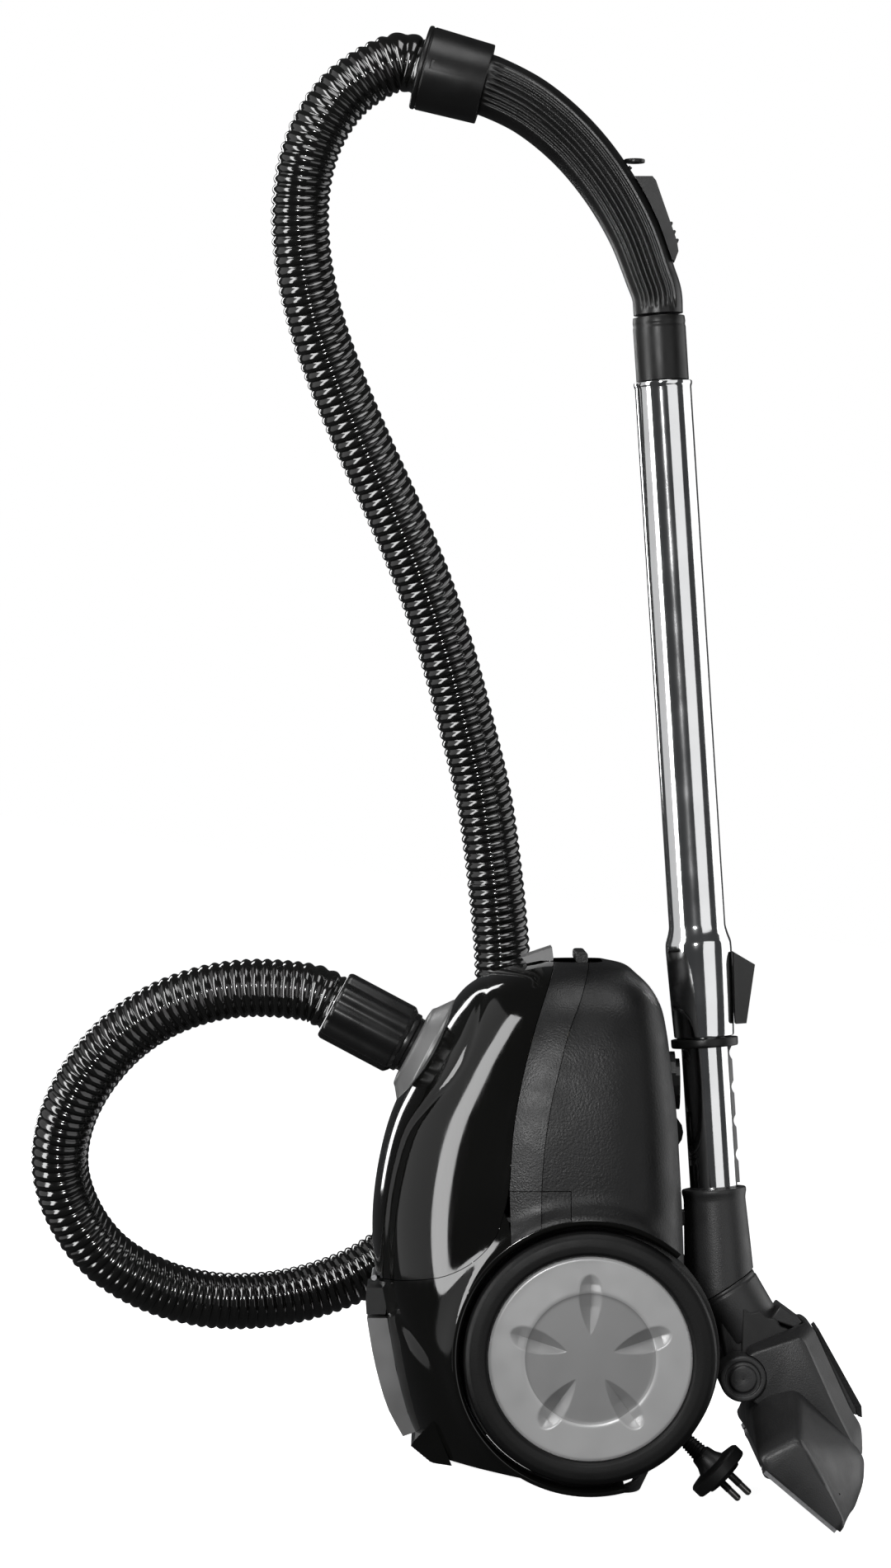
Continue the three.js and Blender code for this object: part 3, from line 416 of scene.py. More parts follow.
def fix_normals(mesh):
    work = bmesh.new()
    work.from_mesh(mesh)
    bmesh.ops.recalc_face_normals(work, faces=work.faces)
    work.to_mesh(mesh)
    work.free()


def soften(mesh, angle=32.0):
    mesh.polygons.foreach_set("use_smooth", [True] * len(mesh.polygons))
    mesh.set_sharp_from_angle(angle=math.radians(angle))


def edge_round(piece, width, segments=2, angle=35.0):
    """Small rounded edges, width in millimetres."""
    bevel = piece.modifiers.new("edges", "BEVEL")
    bevel.width = width / 1000
    bevel.segments = segments
    bevel.limit_method = "ANGLE"
    bevel.angle_limit = math.radians(angle)
    bevel.harden_normals = False


def finish_piece(piece, body, *nodes, slot=None):
    """The piece rides on the body and stands for the CAD nodes, which are hidden. The slot is not used."""
    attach(piece, body)
    if nodes:
        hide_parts(*nodes)


def skin(rings, looped=False):
    """Vertices and faces of a closed skin through rings of points."""
    count = len(rings[0])
    verts = [p for ring in rings for p in ring]
    faces = []
    last = len(rings) if looped else len(rings) - 1
    for i in range(last):
        below = i * count
        above = ((i + 1) % len(rings)) * count
        for j in range(count):
            k = (j + 1) % count
            faces.append((below + j, below + k, above + k, above + j))
    if not looped:
        faces.append(tuple(reversed(range(count))))
        faces.append(tuple(range((len(rings) - 1) * count, len(rings) * count)))
    return verts, faces


def turns(sides):
    """The angles of one full turn in equal steps."""
    return [2 * math.pi * j / sides for j in range(sides)]


def lathe(profile, sides=96, looped=True):
    """A shape turned about z from a profile of (radius, height) pairs."""
    rings = [[(radius * math.cos(turn), radius * math.sin(turn), height) for turn in turns(sides)]
             for radius, height in profile]
    return skin(rings, looped=looped)


def rounded(profile, radius, steps=3):
    """A closed profile with each corner rounded off by up to the radius."""
    out = []
    count = len(profile)
    for i, corner in enumerate(profile):
        here = Vector(corner)
        before = Vector(profile[i - 1]) - here
        after = Vector(profile[(i + 1) % count]) - here
        reach = min(radius, before.length * 0.45, after.length * 0.45)
        start = here + before.normalized() * reach
        end = here + after.normalized() * reach
        for step in range(steps + 1):
            t = step / steps
            out.append(tuple((1 - t) ** 2 * start + 2 * t * (1 - t) * here + t ** 2 * end))
    return out


def turned_piece(name, profile, material, place, round_by=0.8, sides=96):
    return make_piece(name, *lathe(rounded(profile, round_by), sides), material, place)


def swept(points, radius_at, sides):
    """Rings round a line: the radius is a function of the share of the way and of the angle."""
    tangents = [(points[min(i + 1, len(points) - 1)] - points[max(i - 1, 0)]).normalized()
                for i in range(len(points))]
    spoke = Vector((0, -1, 0))
    rings = []
    for i, centre in enumerate(points):
        tangent = tangents[i]
        spoke = (spoke - tangent * spoke.dot(tangent)).normalized()
        side = tangent.cross(spoke)
        share = i / (len(points) - 1)
        rings.append([
            centre + (spoke * math.cos(turn) + side * math.sin(turn)) * radius_at(share, turn)
            for turn in turns(sides)])
    return rings


def plate(outline, y0, y1):
    """A side-view outline of (x, z) pairs made solid from y0 to y1."""
    count = len(outline)
    verts = [(x, y0, z) for x, z in outline] + [(x, y1, z) for x, z in outline]
    faces = [tuple(range(count)), tuple(reversed(range(count, 2 * count)))]
    faces += [(i, (i + 1) % count, count + (i + 1) % count, count + i) for i in range(count)]
    return verts, faces


def block(x0, x1, y0, y1, z0, z1):
    return plate([(x0, z0), (x1, z0), (x1, z1), (x0, z1)], y0, y1)


def turned_part(name, profile, material, place, body, *nodes, round_by=0.6, sides=96):
    """A turned piece that needs no cutting."""
    finish_piece(turned_piece(name, profile, material, place, round_by, sides), body, *nodes)


def eased_piece(name, solid, material, body, *nodes, round_by, segments=2):
    """A piece from (verts, faces) with small rounded edges."""
    piece = make_piece(name, *solid, material)
    edge_round(piece, round_by, segments)
    finish_piece(piece, body, *nodes)


def round_bar(radius, low, high, sides=96):
    return lathe([(radius, low), (radius, high)], sides, looped=False)


def carve(piece, cutters, operation="DIFFERENCE"):
    """Cuts the piece with each (verts, faces, place) cutter, or keeps what they share."""
    for verts, faces, place in cutters:
        cutter = make_piece("cutter", verts, faces, "dark_plastic", place, smooth=False)
        cutter_mesh = cutter.data
        modifier = piece.modifiers.new("carve", "BOOLEAN")
        modifier.operation = operation
        modifier.object = cutter
        modifier.solver = "MANIFOLD"
        graph = bpy.context.evaluated_depsgraph_get()
        result = bpy.data.meshes.new_from_object(piece.evaluated_get(graph))
        piece.modifiers.remove(modifier)
        old = piece.data
        piece.data = result
        bpy.data.meshes.remove(old)
        bpy.data.objects.remove(cutter)
        bpy.data.meshes.remove(cutter_mesh)
    soften(piece.data)


# ---- corrugated hose
HOSE_D = 41.5
HOSE_BASE = 37.4
RIB_PITCH = 6.8
HOSE_SIDES = 32
HOSE_STEP = 0.68


def off_axis(origin, tilt, distance):
    """A point on the line that leaves the origin tilt degrees above the -x direction."""
    angle = math.radians(tilt)
    return (origin[0] - math.cos(angle) * distance, 0, origin[1] + math.sin(angle) * distance)


HOSE_LOWER = [
    off_axis(INLET, HOSE_TILT, CONNECTOR_END + 0.4), off_axis(INLET, HOSE_TILT, CONNECTOR_END + 14),
    (-110, 1, -145.5), (-140, 3, -144.5), (-170, 6, -149), (-202, 12, -161), (-231, 22, -181),
    (-256, 34, -210), (-272, 46, -242), (-277, 58, -275), (-268, 72, -310), (-246, 86, -342),
    (-213, 100, -364), (-175, 113, -376), (-135, 125, -378), (-97, 136, -372), (-60, 144, -358),
    (-27, 149, -335), (-6, 151.6, -313.7), (1, 152, -304)]
HOSE_MIDDLE = [
    (1.35, 152, -303.5), (9.2, 152.5, -292.7), (22, 152, -266), (34, 151, -230), (41, 149, -185),
    (42, 144, -135), (38.6, 137.5, -90), (36.4, 134.3, -70)]
HOSE_UPPER = [
    (36.33, 134.24, -69.5), (34, 131, -50), (28, 124, -10), (16.5, 113, 38), (2, 100, 92),
    (-16, 86, 146), (-38, 70, 198), (-60, 54, 246), (-79, 40, 291), (-93, 27, 332), (-101, 16, 371),
    (-103, 8, 408), (-98, 3, 441), (-86, 1, 469), (-66, 0, 493),
    off_axis(CUFF, CUFF_TILT, CUFF_LENGTH + 14), off_axis(CUFF, CUFF_TILT, CUFF_LENGTH + 0.4)]


def rib(phase):
    """A broad round crest and a narrow valley, from 0 to 1 over one pitch."""
    return abs(math.cos(math.pi * phase)) ** 0.9


def hose_piece(name, route, travelled):
    """One stretch of the hose, its spiral rib carried on from the stretch before it."""
    rough_length = line_length(spline(route, 400))
    points = spline(route, round(rough_length / HOSE_STEP))
    length = line_length(points)

    def radius_at(share, angle):
        phase = (travelled + share * length) / RIB_PITCH - angle / (2 * math.pi)
        return (HOSE_BASE + (HOSE_D - HOSE_BASE) * rib(phase)) / 2

    piece = make_piece(name, *skin(swept(points, radius_at, HOSE_SIDES)), "hose_plastic")
    soften(piece.data, 80.0)
    path = [CARRIAGE @ p for p in points]
    return piece, path, length


HOSE_STRETCHES = (
    ("lower", HOSE_LOWER, "lid", "canister"),
    ("middle", HOSE_MIDDLE, "canister", "wand_lower"),
    ("upper", HOSE_UPPER, "wand_lower", "wand_upper"))


def add_hose():
    """Three stretches of one hose, each a fixed mesh that stands in for its hidden CAD node."""
    travelled = 0.0
    for word, route, start_body, end_body in HOSE_STRETCHES:
        piece, path, length = hose_piece(f"hose_skin_{word}", route, travelled)
        travelled += length
        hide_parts(f"hose_{word}")
        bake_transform(piece)


# ---- the canister's skin
# Height, lid crest, underside and half width, as in the CAD solid; the rows between are a smooth curve.
SECTIONS = [
    (-124.5, 66, 113, 50), (-128, 50, 127, 66), (-134, 30, 135, 78), (-143, 15, 144, 88),
    (-156, 4, 151, 97), (-175, -8, 155, 104), (-200, -22.5, 158, 109), (-230, -37.5, 161.5, 113),
    (-262, -46.5, 163.5, 115.5), (-300, -51.5, 165.5, 117), (-335, -50.5, 166.5, 117),
    (-372, -44, 167, 117), (-410, -37.5, 165, 116), (-440, -29.5, 158, 114), (-462, -20, 149, 111),
    (-490, -6, 136, 107), (-505, 4, 130, 104)]
DOME_POWER = 2.3
FLAT_POWER = 4.5
RING_MIDDLE = 0.6
SKIN_SIDES = 288
SKIN_ROWS = 190
FLOOR_POINT = (-9.6, -470.0)
END_CLEAR = 3.5
FLARE = 5.0
FLARE_START = 93.0
FLARE_FADE = 8.5


def floor_z(x, above=0.0):
    """Height of the floor that the canister's rear end stands on, as it leans."""
    return FLOOR_POINT[1] - (x - FLOOR_POINT[0]) * math.tan(math.radians(LEAN)) + above


def section_rows():
    """The sections as a smooth curve of (z, left, right, half)."""
    sides = spline([(z, left, right) for z, left, right, half in SECTIONS], SKIN_ROWS)
    halves = spline([(z, half, 0) for z, left, right, half in SECTIONS], 4 * SKIN_ROWS)
    rows = []
    for z, left, right in sides:
        near = min(range(len(halves) - 1), key=lambda i: abs(halves[i].x + halves[i + 1].x - 2 * z))
        a, b = halves[near], halves[near + 1]
        share = (z - a.x) / (b.x - a.x)
        rows.append((z, left, right, a.y + (b.y - a.y) * share))
    return rows


def wheel_flare(x, z):
    """The sides swell outwards a little where they meet the wheel arches."""
    radius = math.hypot(x - AXLE[0], z - AXLE[1])
    past = max(0.0, (radius - FLARE_START) / FLARE_FADE)
    return FLARE * math.exp(-past * past)


def skin_ring(row, inset, crease=None):
    """One level outline: a round dome to the lid side and a flatter one to the underside."""
    z, left, right, half = row
    middle = left + (right - left) * RING_MIDDLE
    ring = []
    for j in range(SKIN_SIDES):
        turn = 2 * math.pi * (j + 0.5) / SKIN_SIDES
        c, s = math.cos(turn), math.sin(turn)
        along = math.copysign(1, c)
        across = math.copysign(1, s)
        power = 2 / (DOME_POWER if c > 0 else FLAT_POWER)
        reach = left + inset - middle if c > 0 else middle - right + inset
        x = middle + abs(c) ** power * reach * along
        y = abs(s) ** power * (half - inset) * across
        y += wheel_flare(x, z) * max(-1.0, min(1.0, 2 * s))
        if crease:
            sink = crease(x, z)
            x += sink * abs(c) ** 0.5 * along
            y -= sink * abs(s) ** 0.5 * across
        ring.append((x, y, z))
    return ring


def skin_solid(inset, crease=None):
    return skin([skin_ring(row, inset, crease) for row in section_rows()])


def smooth_line(points, count):
    return [(p.x, p.z) for p in spline([(x, 0, z) for x, z in points], count)]


LID_EDGE = smooth_line([
    (78, -110), (76.1, -122.4), (61.8, -166.9), (52.6, -202.1), (46.3, -237.4), (43.2, -277.9),
    (40.7, -290.7), (33.9, -310.7), (18.5, -327.8), (0, -338.1), (-17.4, -342.1), (-45, -345.6),
    (-90, -346)], 60)
BAND_RIGHT = smooth_line([
    (103, -108), (101.2, -118.4), (93, -148.3), (85.2, -168.4), (77.4, -197.6), (71.2, -225),
    (66.4, -263.8), (64.9, -316)], 30)
REAR_SPLIT = [(45.4, -316), (66, -391), (66, -520)]
CREASE = smooth_line([
    (30, -128), (9.3, -194.5), (-11.7, -221.4), (-25.7, -240.6), (-35.6, -272.7), (-40.3, -304.8),
    (-40.8, -341.5), (-37.9, -364.3), (-11.7, -399.3), (2.3, -434.3), (8, -470)], 80)


CREASE_WIDTH = 2.8
CREASE_SLOPE = 2.4
CREASE_STEP = 0.9
CREASE_GROOVE = 1.0
CREASE_FADE_Z = -340.0
CREASE_FADE = 0.06


def crease_x(z):
    for (x0, z0), (x1, z1) in zip(CREASE, CREASE[1:]):
        if z1 <= z <= z0:
            return x0 + (x1 - x0) * (z0 - z) / (z0 - z1)
    return CREASE[0][0] if z > CREASE[0][1] else CREASE[-1][0]


def lid_crease(x, z):
    """The skin steps down past the crease line, with a groove along it that widens to the rear."""
    width = CREASE_WIDTH + CREASE_FADE * max(0.0, CREASE_FADE_Z - z)
    beyond = (x - crease_x(z)) / width
    step = 1 / (1 + math.exp(-max(-20.0, min(20.0, CREASE_SLOPE * beyond))))
    groove = math.exp(-beyond * beyond)
    return CREASE_STEP * step + CREASE_GROOVE * groove


def moved(points, dx, dz=0.0):
    return [(x + dx, z + dz) for x, z in points]


def side_cut(outline):
    return (*plate(outline, -135, 135), None)


def wheel_axis(side):
    """The z axis laid along the axle, pointing outwards on that side."""
    return placed(*AXLE) @ Matrix.Rotation(side * math.pi / -2, 4, "X")


def wheel_holes(radius):
    return [(*round_bar(radius, 100, 160), wheel_axis(side)) for side in (-1, 1)]


def below_floor(above):
    """All that lies under the floor, and so much above it."""
    outline = [(-150, floor_z(-150, above)), (300, floor_z(300, above)), (300, -700), (-150, -700)]
    return (*plate(outline, -170, 170), None)


FOOT_SEAM_X = 86.0
FOOT_SEAM_Z = -278.4


def foot_seam():
    """The fine line where the foot of the band and of the side panel begins, on both sides."""
    seams = []
    for side in (-1, 1):
        y0, y1 = sorted((side * 90, side * 150))
        level = block(40, FOOT_SEAM_X, y0, y1, FOOT_SEAM_Z - SEAM, FOOT_SEAM_Z)
        upright = block(FOOT_SEAM_X - 0.4, FOOT_SEAM_X + 0.1, y0, y1, -306, FOOT_SEAM_Z)
        seams += [(*level, None), (*upright, None)]
    return seams


def panel(name, outline, material, cutters, body, node, crease=None):
    """One moulding of the canister: the skin inside a side-view outline, with its wall."""
    piece = make_piece(name, *skin_solid(0.0, crease), material)
    carve(piece, [side_cut(outline)], "INTERSECT")
    carve(piece, [(*skin_solid(WALL), None), below_floor(END_CLEAR), *cutters])
    finish_piece(piece, body, node)


ARCH_HOLE_R = 92.4


def add_panels():
    """The lid, the gloss shell behind it and the grained shell round the underside."""
    lid = [*LID_EDGE, (-90, -100)]
    inlet_hole = (*round_bar(21, -40, 20, 64), INLET_AXIS)
    panel("lid_shell", lid, "gloss_black", [inlet_hole], "lid", "dust_cover", crease=lid_crease)
    corner = [p for p in LID_EDGE if p[1] < -292]
    top = moved(reversed(corner), 0.1, -SEAM)
    rear = [*top, (43.2, -300), *REAR_SPLIT, (-90, -520)]
    latch_slot = (*block(-70, -30, -33, 33, -373, -351), None)
    outlet_hole = (*round_bar(11.4, -30, 20, 48), PLUG_AXIS)
    rear_cutters = [*wheel_holes(ARCH_HOLE_R), outlet_hole, latch_slot]
    panel("rear_shell", rear, "gloss_black", rear_cutters, "canister", "rear_housing", crease=lid_crease)
    side = [*moved(BAND_RIGHT, SEAM), *moved(REAR_SPLIT, SEAM), (230, -520), (230, -100)]
    socket_hole = (*block(130, 190, -16.4, 16.4, -334.4, -267.6), None)
    caster_hole = (*round_bar(53.4, 130, 190, 96), placed(0, CASTER_Z, 90))
    side_cutters = [*wheel_holes(ARCH_HOLE_R), *foot_seam(), outlet_hole, socket_hole, caster_hole]
    panel("side_shell", side, "grained_plastic", side_cutters, "canister", "lower_housing")


BAND_PROUD = 2.2
BAND_FOOT_Z = -279
GRIP_LEFT = 80
GRIP_RIGHT = 100.5
GRIP_HALF = 43
GRIP_FLOOR = -149
POCKET_WALL = 2.4


def add_band():
    """The carry band over the nose, a little proud of the panels, with its grip bar over a pocket."""
    left = [(x + SEAM, z) for x, z in LID_EDGE if z > BAND_FOOT_Z]
    outline = side_cut([*reversed(BAND_RIGHT), *left, (45, -316)])
    mouth = (*block(GRIP_LEFT, GRIP_RIGHT, -GRIP_HALF, GRIP_HALF, GRIP_FLOOR, -100), None)
    band = make_piece("carry_band_skin", *skin_solid(-BAND_PROUD), "band_plastic")
    carve(band, [outline], "INTERSECT")
    carve(band, [(*skin_solid(WALL), None), mouth, *wheel_holes(ARCH_HOLE_R + 1.1), *foot_seam()])
    edge_round(band, 0.5)
    finish_piece(band, "canister", "carry_band")
    reach = GRIP_HALF + POCKET_WALL
    around = block(GRIP_LEFT - POCKET_WALL, GRIP_RIGHT + POCKET_WALL, -reach, reach,
                   GRIP_FLOOR - POCKET_WALL, -128)
    pocket = make_piece("grip_pocket", *around, "band_plastic")
    carve(pocket, [outline], "INTERSECT")
    carve(pocket, [mouth])
    finish_piece(pocket, "canister")
    section = rounded([(91, -125), (99.4, -125), (99.4, -117.5), (91, -117.5)], 2.5, 4)
    bar = make_piece("grip_bar", *plate(section, -GRIP_HALF - 4, GRIP_HALF + 4), "band_plastic")
    finish_piece(bar, "canister")


# ---- wheels
LIP_START = 49.0
LIP_END = 285.0
LIP_OUT = 94.2


def partial_lathe(profile, start, end, steps):
    """A closed (radius, y) profile swept round the axle from start to end degrees."""
    rings = []
    for step in range(steps + 1):
        angle = math.radians(start + (end - start) * step / steps)
        rings.append([(r * math.cos(angle), y, r * math.sin(angle)) for r, y in profile])
    return skin(rings)


def mirror(verts, side):
    """The shape as it is for side 1, and flipped across the middle for side -1."""
    return [(x, side * y, z) for x, y, z in verts]


def add_wheel(side, word):
    """An arch lip and a well on the canister, and a tyre and a hub on the wheel."""
    outward = wheel_axis(side)
    lip = rounded([(89.6, 104), (92, 104), (92, 126.5), (93.4, 131), (LIP_OUT, 132.5), (LIP_OUT, 134),
                   (91.4, 134), (89.6, 131.5)], 0.8)
    verts, faces = partial_lathe(lip, LIP_START, LIP_END, 96)
    arch = make_piece(f"arch_lip_{word}", mirror(verts, side), faces, "gloss_black", placed(*AXLE))
    finish_piece(arch, "canister", f"wheel_arch_{word}")
    disc = [(6, 103.2), (89.4, 103.2), (89.4, 106), (6, 106)]
    well = turned_piece(f"wheel_well_{word}", disc, "dark_plastic", outward, 0.5)
    carve(well, [below_floor(END_CLEAR + 2)])
    finish_piece(well, "canister")
    tread = [(70, 113), (72, 112), (83, 113), (86.4, 119), (86.5, 126), (86.4, 133), (85.2, 137.2),
             (82, 139.4), (77, 139.9), (72.4, 139.6), (71, 138.8), (70, 137)]
    turned_part(f"tyre_skin_{word}", tread, "tyre_rubber", outward, f"wheel_{word}", f"tyre_{word}",
                round_by=1.0, sides=144)
    add_hub(side, word, outward)


HUB_R = 69.7
DISC_R = 44.6
DIMPLES = 5
DIMPLE_START = 17.0
DIMPLE_LENGTH = 40.5
DIMPLE_HALF = 9.4
DIMPLE_DEEP = 4.6
DIMPLE_BULGE = 1.52
HUB_FACE = 137.6
HUB_BACK = 114.0
HUB_DISH = 0.9
DISC_DROP = 0.9
RIM_WIDTH = 2.4
RIM_DROP = 1.2
# Width of the hub face's outer ring that takes the lighter grey: a painted highlight.
RIM_PAINTED_HIGHLIGHT_WIDTH = 1.5
HUB_SIDES = 360
HUB_RINGS = 110


def hub_height(radius, angle):
    """Height of the hub's face: a dished rim, a step down to the disc, and five teardrop dimples."""
    face = HUB_FACE - HUB_DISH * (radius / HUB_R) ** 2
    if radius > HUB_R - RIM_WIDTH:
        face -= RIM_DROP * ((radius - HUB_R + RIM_WIDTH) / RIM_WIDTH) ** 2
    step = 1 / (1 + math.exp(-(DISC_R - radius) * 1.6))
    face -= DISC_DROP * step
    for i in range(DIMPLES):
        middle = math.pi / 2 + 2 * math.pi * i / DIMPLES
        u = radius * math.cos(angle - middle)
        v = radius * math.sin(angle - middle)
        share = (u - DIMPLE_START) / DIMPLE_LENGTH
        if 0 < share < 1:
            half = DIMPLE_HALF * DIMPLE_BULGE * share ** 0.75 * math.sqrt(1 - share ** 2)
            inside = 1 - abs(v) / max(half, 0.2)
            if inside > 0:
                face -= DIMPLE_DEEP * inside ** 0.9 * min(1.0, 2.2 * share, 6 * (1 - share))
    return face


def hub_ring(radius, height_at):
    return [(radius * math.cos(turn), radius * math.sin(turn), height_at(radius, turn))
            for turn in turns(HUB_SIDES)]


def add_hub(side, word, outward):
    """The hub's sculpted face over a flat back, with its disc and its outer rim ring, whose lighter grey is
    a painted highlight.
    """
    rings = [hub_ring(HUB_R, lambda radius, turn: HUB_BACK)]
    for i in range(HUB_RINGS, -1, -1):
        rings.append(hub_ring(0.5 + (HUB_R - 0.5) * i / HUB_RINGS, hub_height))
    verts, faces = skin(rings)
    hub = make_piece(f"hub_face_{word}", mirror(verts, -side), faces, "hub_silver", outward)
    soften(hub.data, 50.0)
    hub.data.materials.append(MATERIALS["hub_disc"])
    hub.data.materials.append(MATERIALS["hub_rim_painted_highlight"])
    middle = CARRIAGE @ Vector((AXLE[0], 0, AXLE[1]))
    for polygon in hub.data.polygons:
        across = polygon.center - middle
        radius = math.hypot(across.x, across.z) * 1000
        # The outer ring gets index 2, the lighter grey that paints the highlight on the hub's edge.
        polygon.material_index = 1 if radius < DISC_R else 2 if radius > HUB_R - RIM_PAINTED_HIGHLIGHT_WIDTH else 0
    finish_piece(hub, f"wheel_{word}", f"hub_cap_{word}")


# ---- hose ends, wand and handle
TUBE_SIDES = 128
FLUTES = 9
FLUTE_DEPTH = 2.6
FLUTED_SIDES = 144


def fluted_ring(radius, height):
    ring = []
    depth = FLUTE_DEPTH * max(0.0, min(1.0, (radius - 20) / 5))
    for turn in turns(FLUTED_SIDES):
        r = radius - depth * abs(math.cos(FLUTES * turn / 2)) ** 3
        ring.append((r * math.cos(turn), r * math.sin(turn), height))
    return ring


def add_connector():
    """The fluted grip that turns on the inlet, with its dark neck, and the silver collar on the lid."""
    profile = [(16, 7), (22.6, 7), (26, 10.5), (26, 61), (24.6, CONNECTOR_END), (16, CONNECTOR_END)]
    rings = [fluted_ring(radius, height) for radius, height in rounded(profile, 1.2)]
    grip = make_piece("connector_grip", *skin(rings, looped=True), "connector_plastic", INLET_AXIS)
    finish_piece(grip, "connector", "hose_connector")
    throat = [(16, -24), (20.2, -24), (20.2, 3), (22, 4), (22, 7.5), (16, 7.5)]
    turned_part("connector_neck", throat, "connector_plastic", INLET_AXIS, "connector")
    flange = [(20.6, 0.2), (24, 0.8), (29.6, 0), (31.4, -2), (42.6, -10.4), (42.9, -30), (20.6, -30)]
    collar = turned_piece("inlet_collar", flange, "silver_plastic", INLET_AXIS, 1.2)
    carve(collar, [(*skin_solid(0.4), None)])
    finish_piece(collar, "lid", "inlet_ring")


HANDLE_LINE = [
    (25.1, 495.5), (31.5, 493.4), (59.6, 479.3), (89.4, 454.6), (114.2, 424), (133.1, 390.7),
    (144.8, 359.7), (149.4, 346), (150.45, 332.2)]
HANDLE_R = 21.9
HANDLE_TAPER = 4.4
GROOVES = 8
GROOVE_DEPTH = 1.7
GROOVE_SPREAD = 0.82
HANDLE_SIDES = 320


def handle_radius(share, angle):
    """A tapered round with lengthwise grooves on both flanks, closed before its ends."""
    radius = HANDLE_R - HANDLE_TAPER * share
    ends = max(0.0, min(1.0, min(share - 0.02, 0.985 - share) * 30))
    flank = angle % math.pi
    spread = min(flank, math.pi - flank)
    if spread < GROOVE_SPREAD:
        wave = 0.5 - 0.5 * math.cos(math.pi * GROOVES * spread / GROOVE_SPREAD)
        radius -= GROOVE_DEPTH * wave ** 1.4 * ends
    return radius


def add_handle():
    """The hollow curved handle, and the small lug on its back."""
    line = spline([(x, 0, z) for x, z in HANDLE_LINE], 150)
    outer = swept(line, handle_radius, HANDLE_SIDES)
    inner = swept(list(reversed(line)), lambda share, angle: 13.4 + 2.0 * share, HANDLE_SIDES)
    handle = make_piece("handle_grip", *skin([*outer, *inner], looped=True), "handle_plastic")
    soften(handle.data, 50.0)
    finish_piece(handle, "wand_upper", "handle")
    eye = [(3.4, -1.3), (7.4, -1.3), (7.4, 1.3), (3.4, 1.3)]
    turned_part("hanging_lug", eye, "handle_plastic", placed(133.6, 440.5), "wand_upper", sides=48)
    stem_line = [Vector((128, 0, 433)), Vector((131, 0, 436.5))]
    stem = make_piece("lug_stem", *skin(swept(stem_line, lambda share, angle: 1.4, 16)), "handle_plastic")
    finish_piece(stem, "wand_upper")


def add_cuff():
    """The cuff that turns on the handle: a fine line near its wide end and a slot on one side."""
    profile = [(17, 3.5), (23.4, 3.5), (23.4, 0), (28.6, 0), (29.9, 43.2), (29.3, 43.8), (29.3, 44.4),
               (30.2, 45), (30.2, 47), (29, CUFF_LENGTH), (17, CUFF_LENGTH)]
    cuff = turned_piece("cuff_shell", profile, "satin_black", CUFF_AXIS, 0.9, TUBE_SIDES)
    carve(cuff, [(*block(-3.4, 3.4, -34, -27.6, 37.6, 40.0), CUFF_AXIS)])
    finish_piece(cuff, "cuff", "hose_cuff")


def wand_piece(name, profile, material, body, node, round_by=0.6):
    turned_part(name, profile, material, WAND_AXIS, body, node, round_by=round_by, sides=TUBE_SIDES)


def add_wand():
    """The two telescoping tubes, the collar and sleeve at the upper one's ends, and the rack strip."""
    upper = [(17.4, -464), (21.2, -464), (22.2, -440), (23.4, -402), (23.2, -397), (21.2, -391), (20, -386),
             (20, -4), (20.7, -2.5), (20.7, -0.4), (20, 0), (17.4, 0)]
    wand_piece("upper_tube_skin", upper, "chrome_tube", "wand_upper", "upper_tube", 1.6)
    collar = [(17.4, -471), (23.3, -471), (23.7, -469.5), (23.7, -465), (17.4, -464.5)]
    wand_piece("tube_collar", collar, "satin_black", "wand_upper", "wand_collar")
    lower = [(15.2, -612), (16.7, -612), (16.7, -46), (15.2, -46)]
    wand_piece("lower_tube_skin", lower, "chrome_tube", "wand_lower", "lower_tube", 0.4)
    sleeve = [(14, -16), (16.8, -16), (16.8, 0.5), (18.6, 0.5), (18.7, 38), (18.3, 40), (18.7, 42),
              (18.3, 46), (14, 46)]
    wand_piece("neck_sleeve_skin", sleeve, "satin_black", "wand_upper", "neck_sleeve")
    add_rack()


RACK_LOW = -568.0
RACK_FACE = 18.6
RACK_BACK = 16.2
NOTCHES = 4
NOTCH_PITCH = 24.0
NOTCH_WIDTH = 9.0
NOTCH_DEPTH = 1.7
NOTCH_STEPS = 8


def add_rack():
    """The rack strip: rounded catch notches along its outer edge."""
    outline = [(RACK_BACK, RACK_LOW)]
    for i in range(NOTCHES):
        z = RACK_LOW + NOTCH_PITCH * i
        notch_low = z + NOTCH_PITCH - NOTCH_WIDTH
        outline += [(RACK_FACE, z), (RACK_FACE, notch_low)]
        for step in range(1, NOTCH_STEPS):
            sink = NOTCH_DEPTH * math.sin(math.pi * step / NOTCH_STEPS)
            outline.append((RACK_FACE - sink, notch_low + NOTCH_WIDTH * step / NOTCH_STEPS))
    outline += [(RACK_FACE, RACK_LOW + NOTCH_PITCH * NOTCHES), (RACK_FACE, -66), (RACK_BACK, -66)]
    rack = make_piece("rack_skin", *plate(outline, -3.4, 3.4), "silver_plastic", WAND_AXIS)
    edge_round(rack, 0.3)
    finish_piece(rack, "wand_lower", "rack_strip")


# ---- floor nozzle
NECK_TOP = 571.0
NOZZLE_HALF = 132.0
CORNER_STEPS = 4
ELBOW_ROOM_R = 58.5


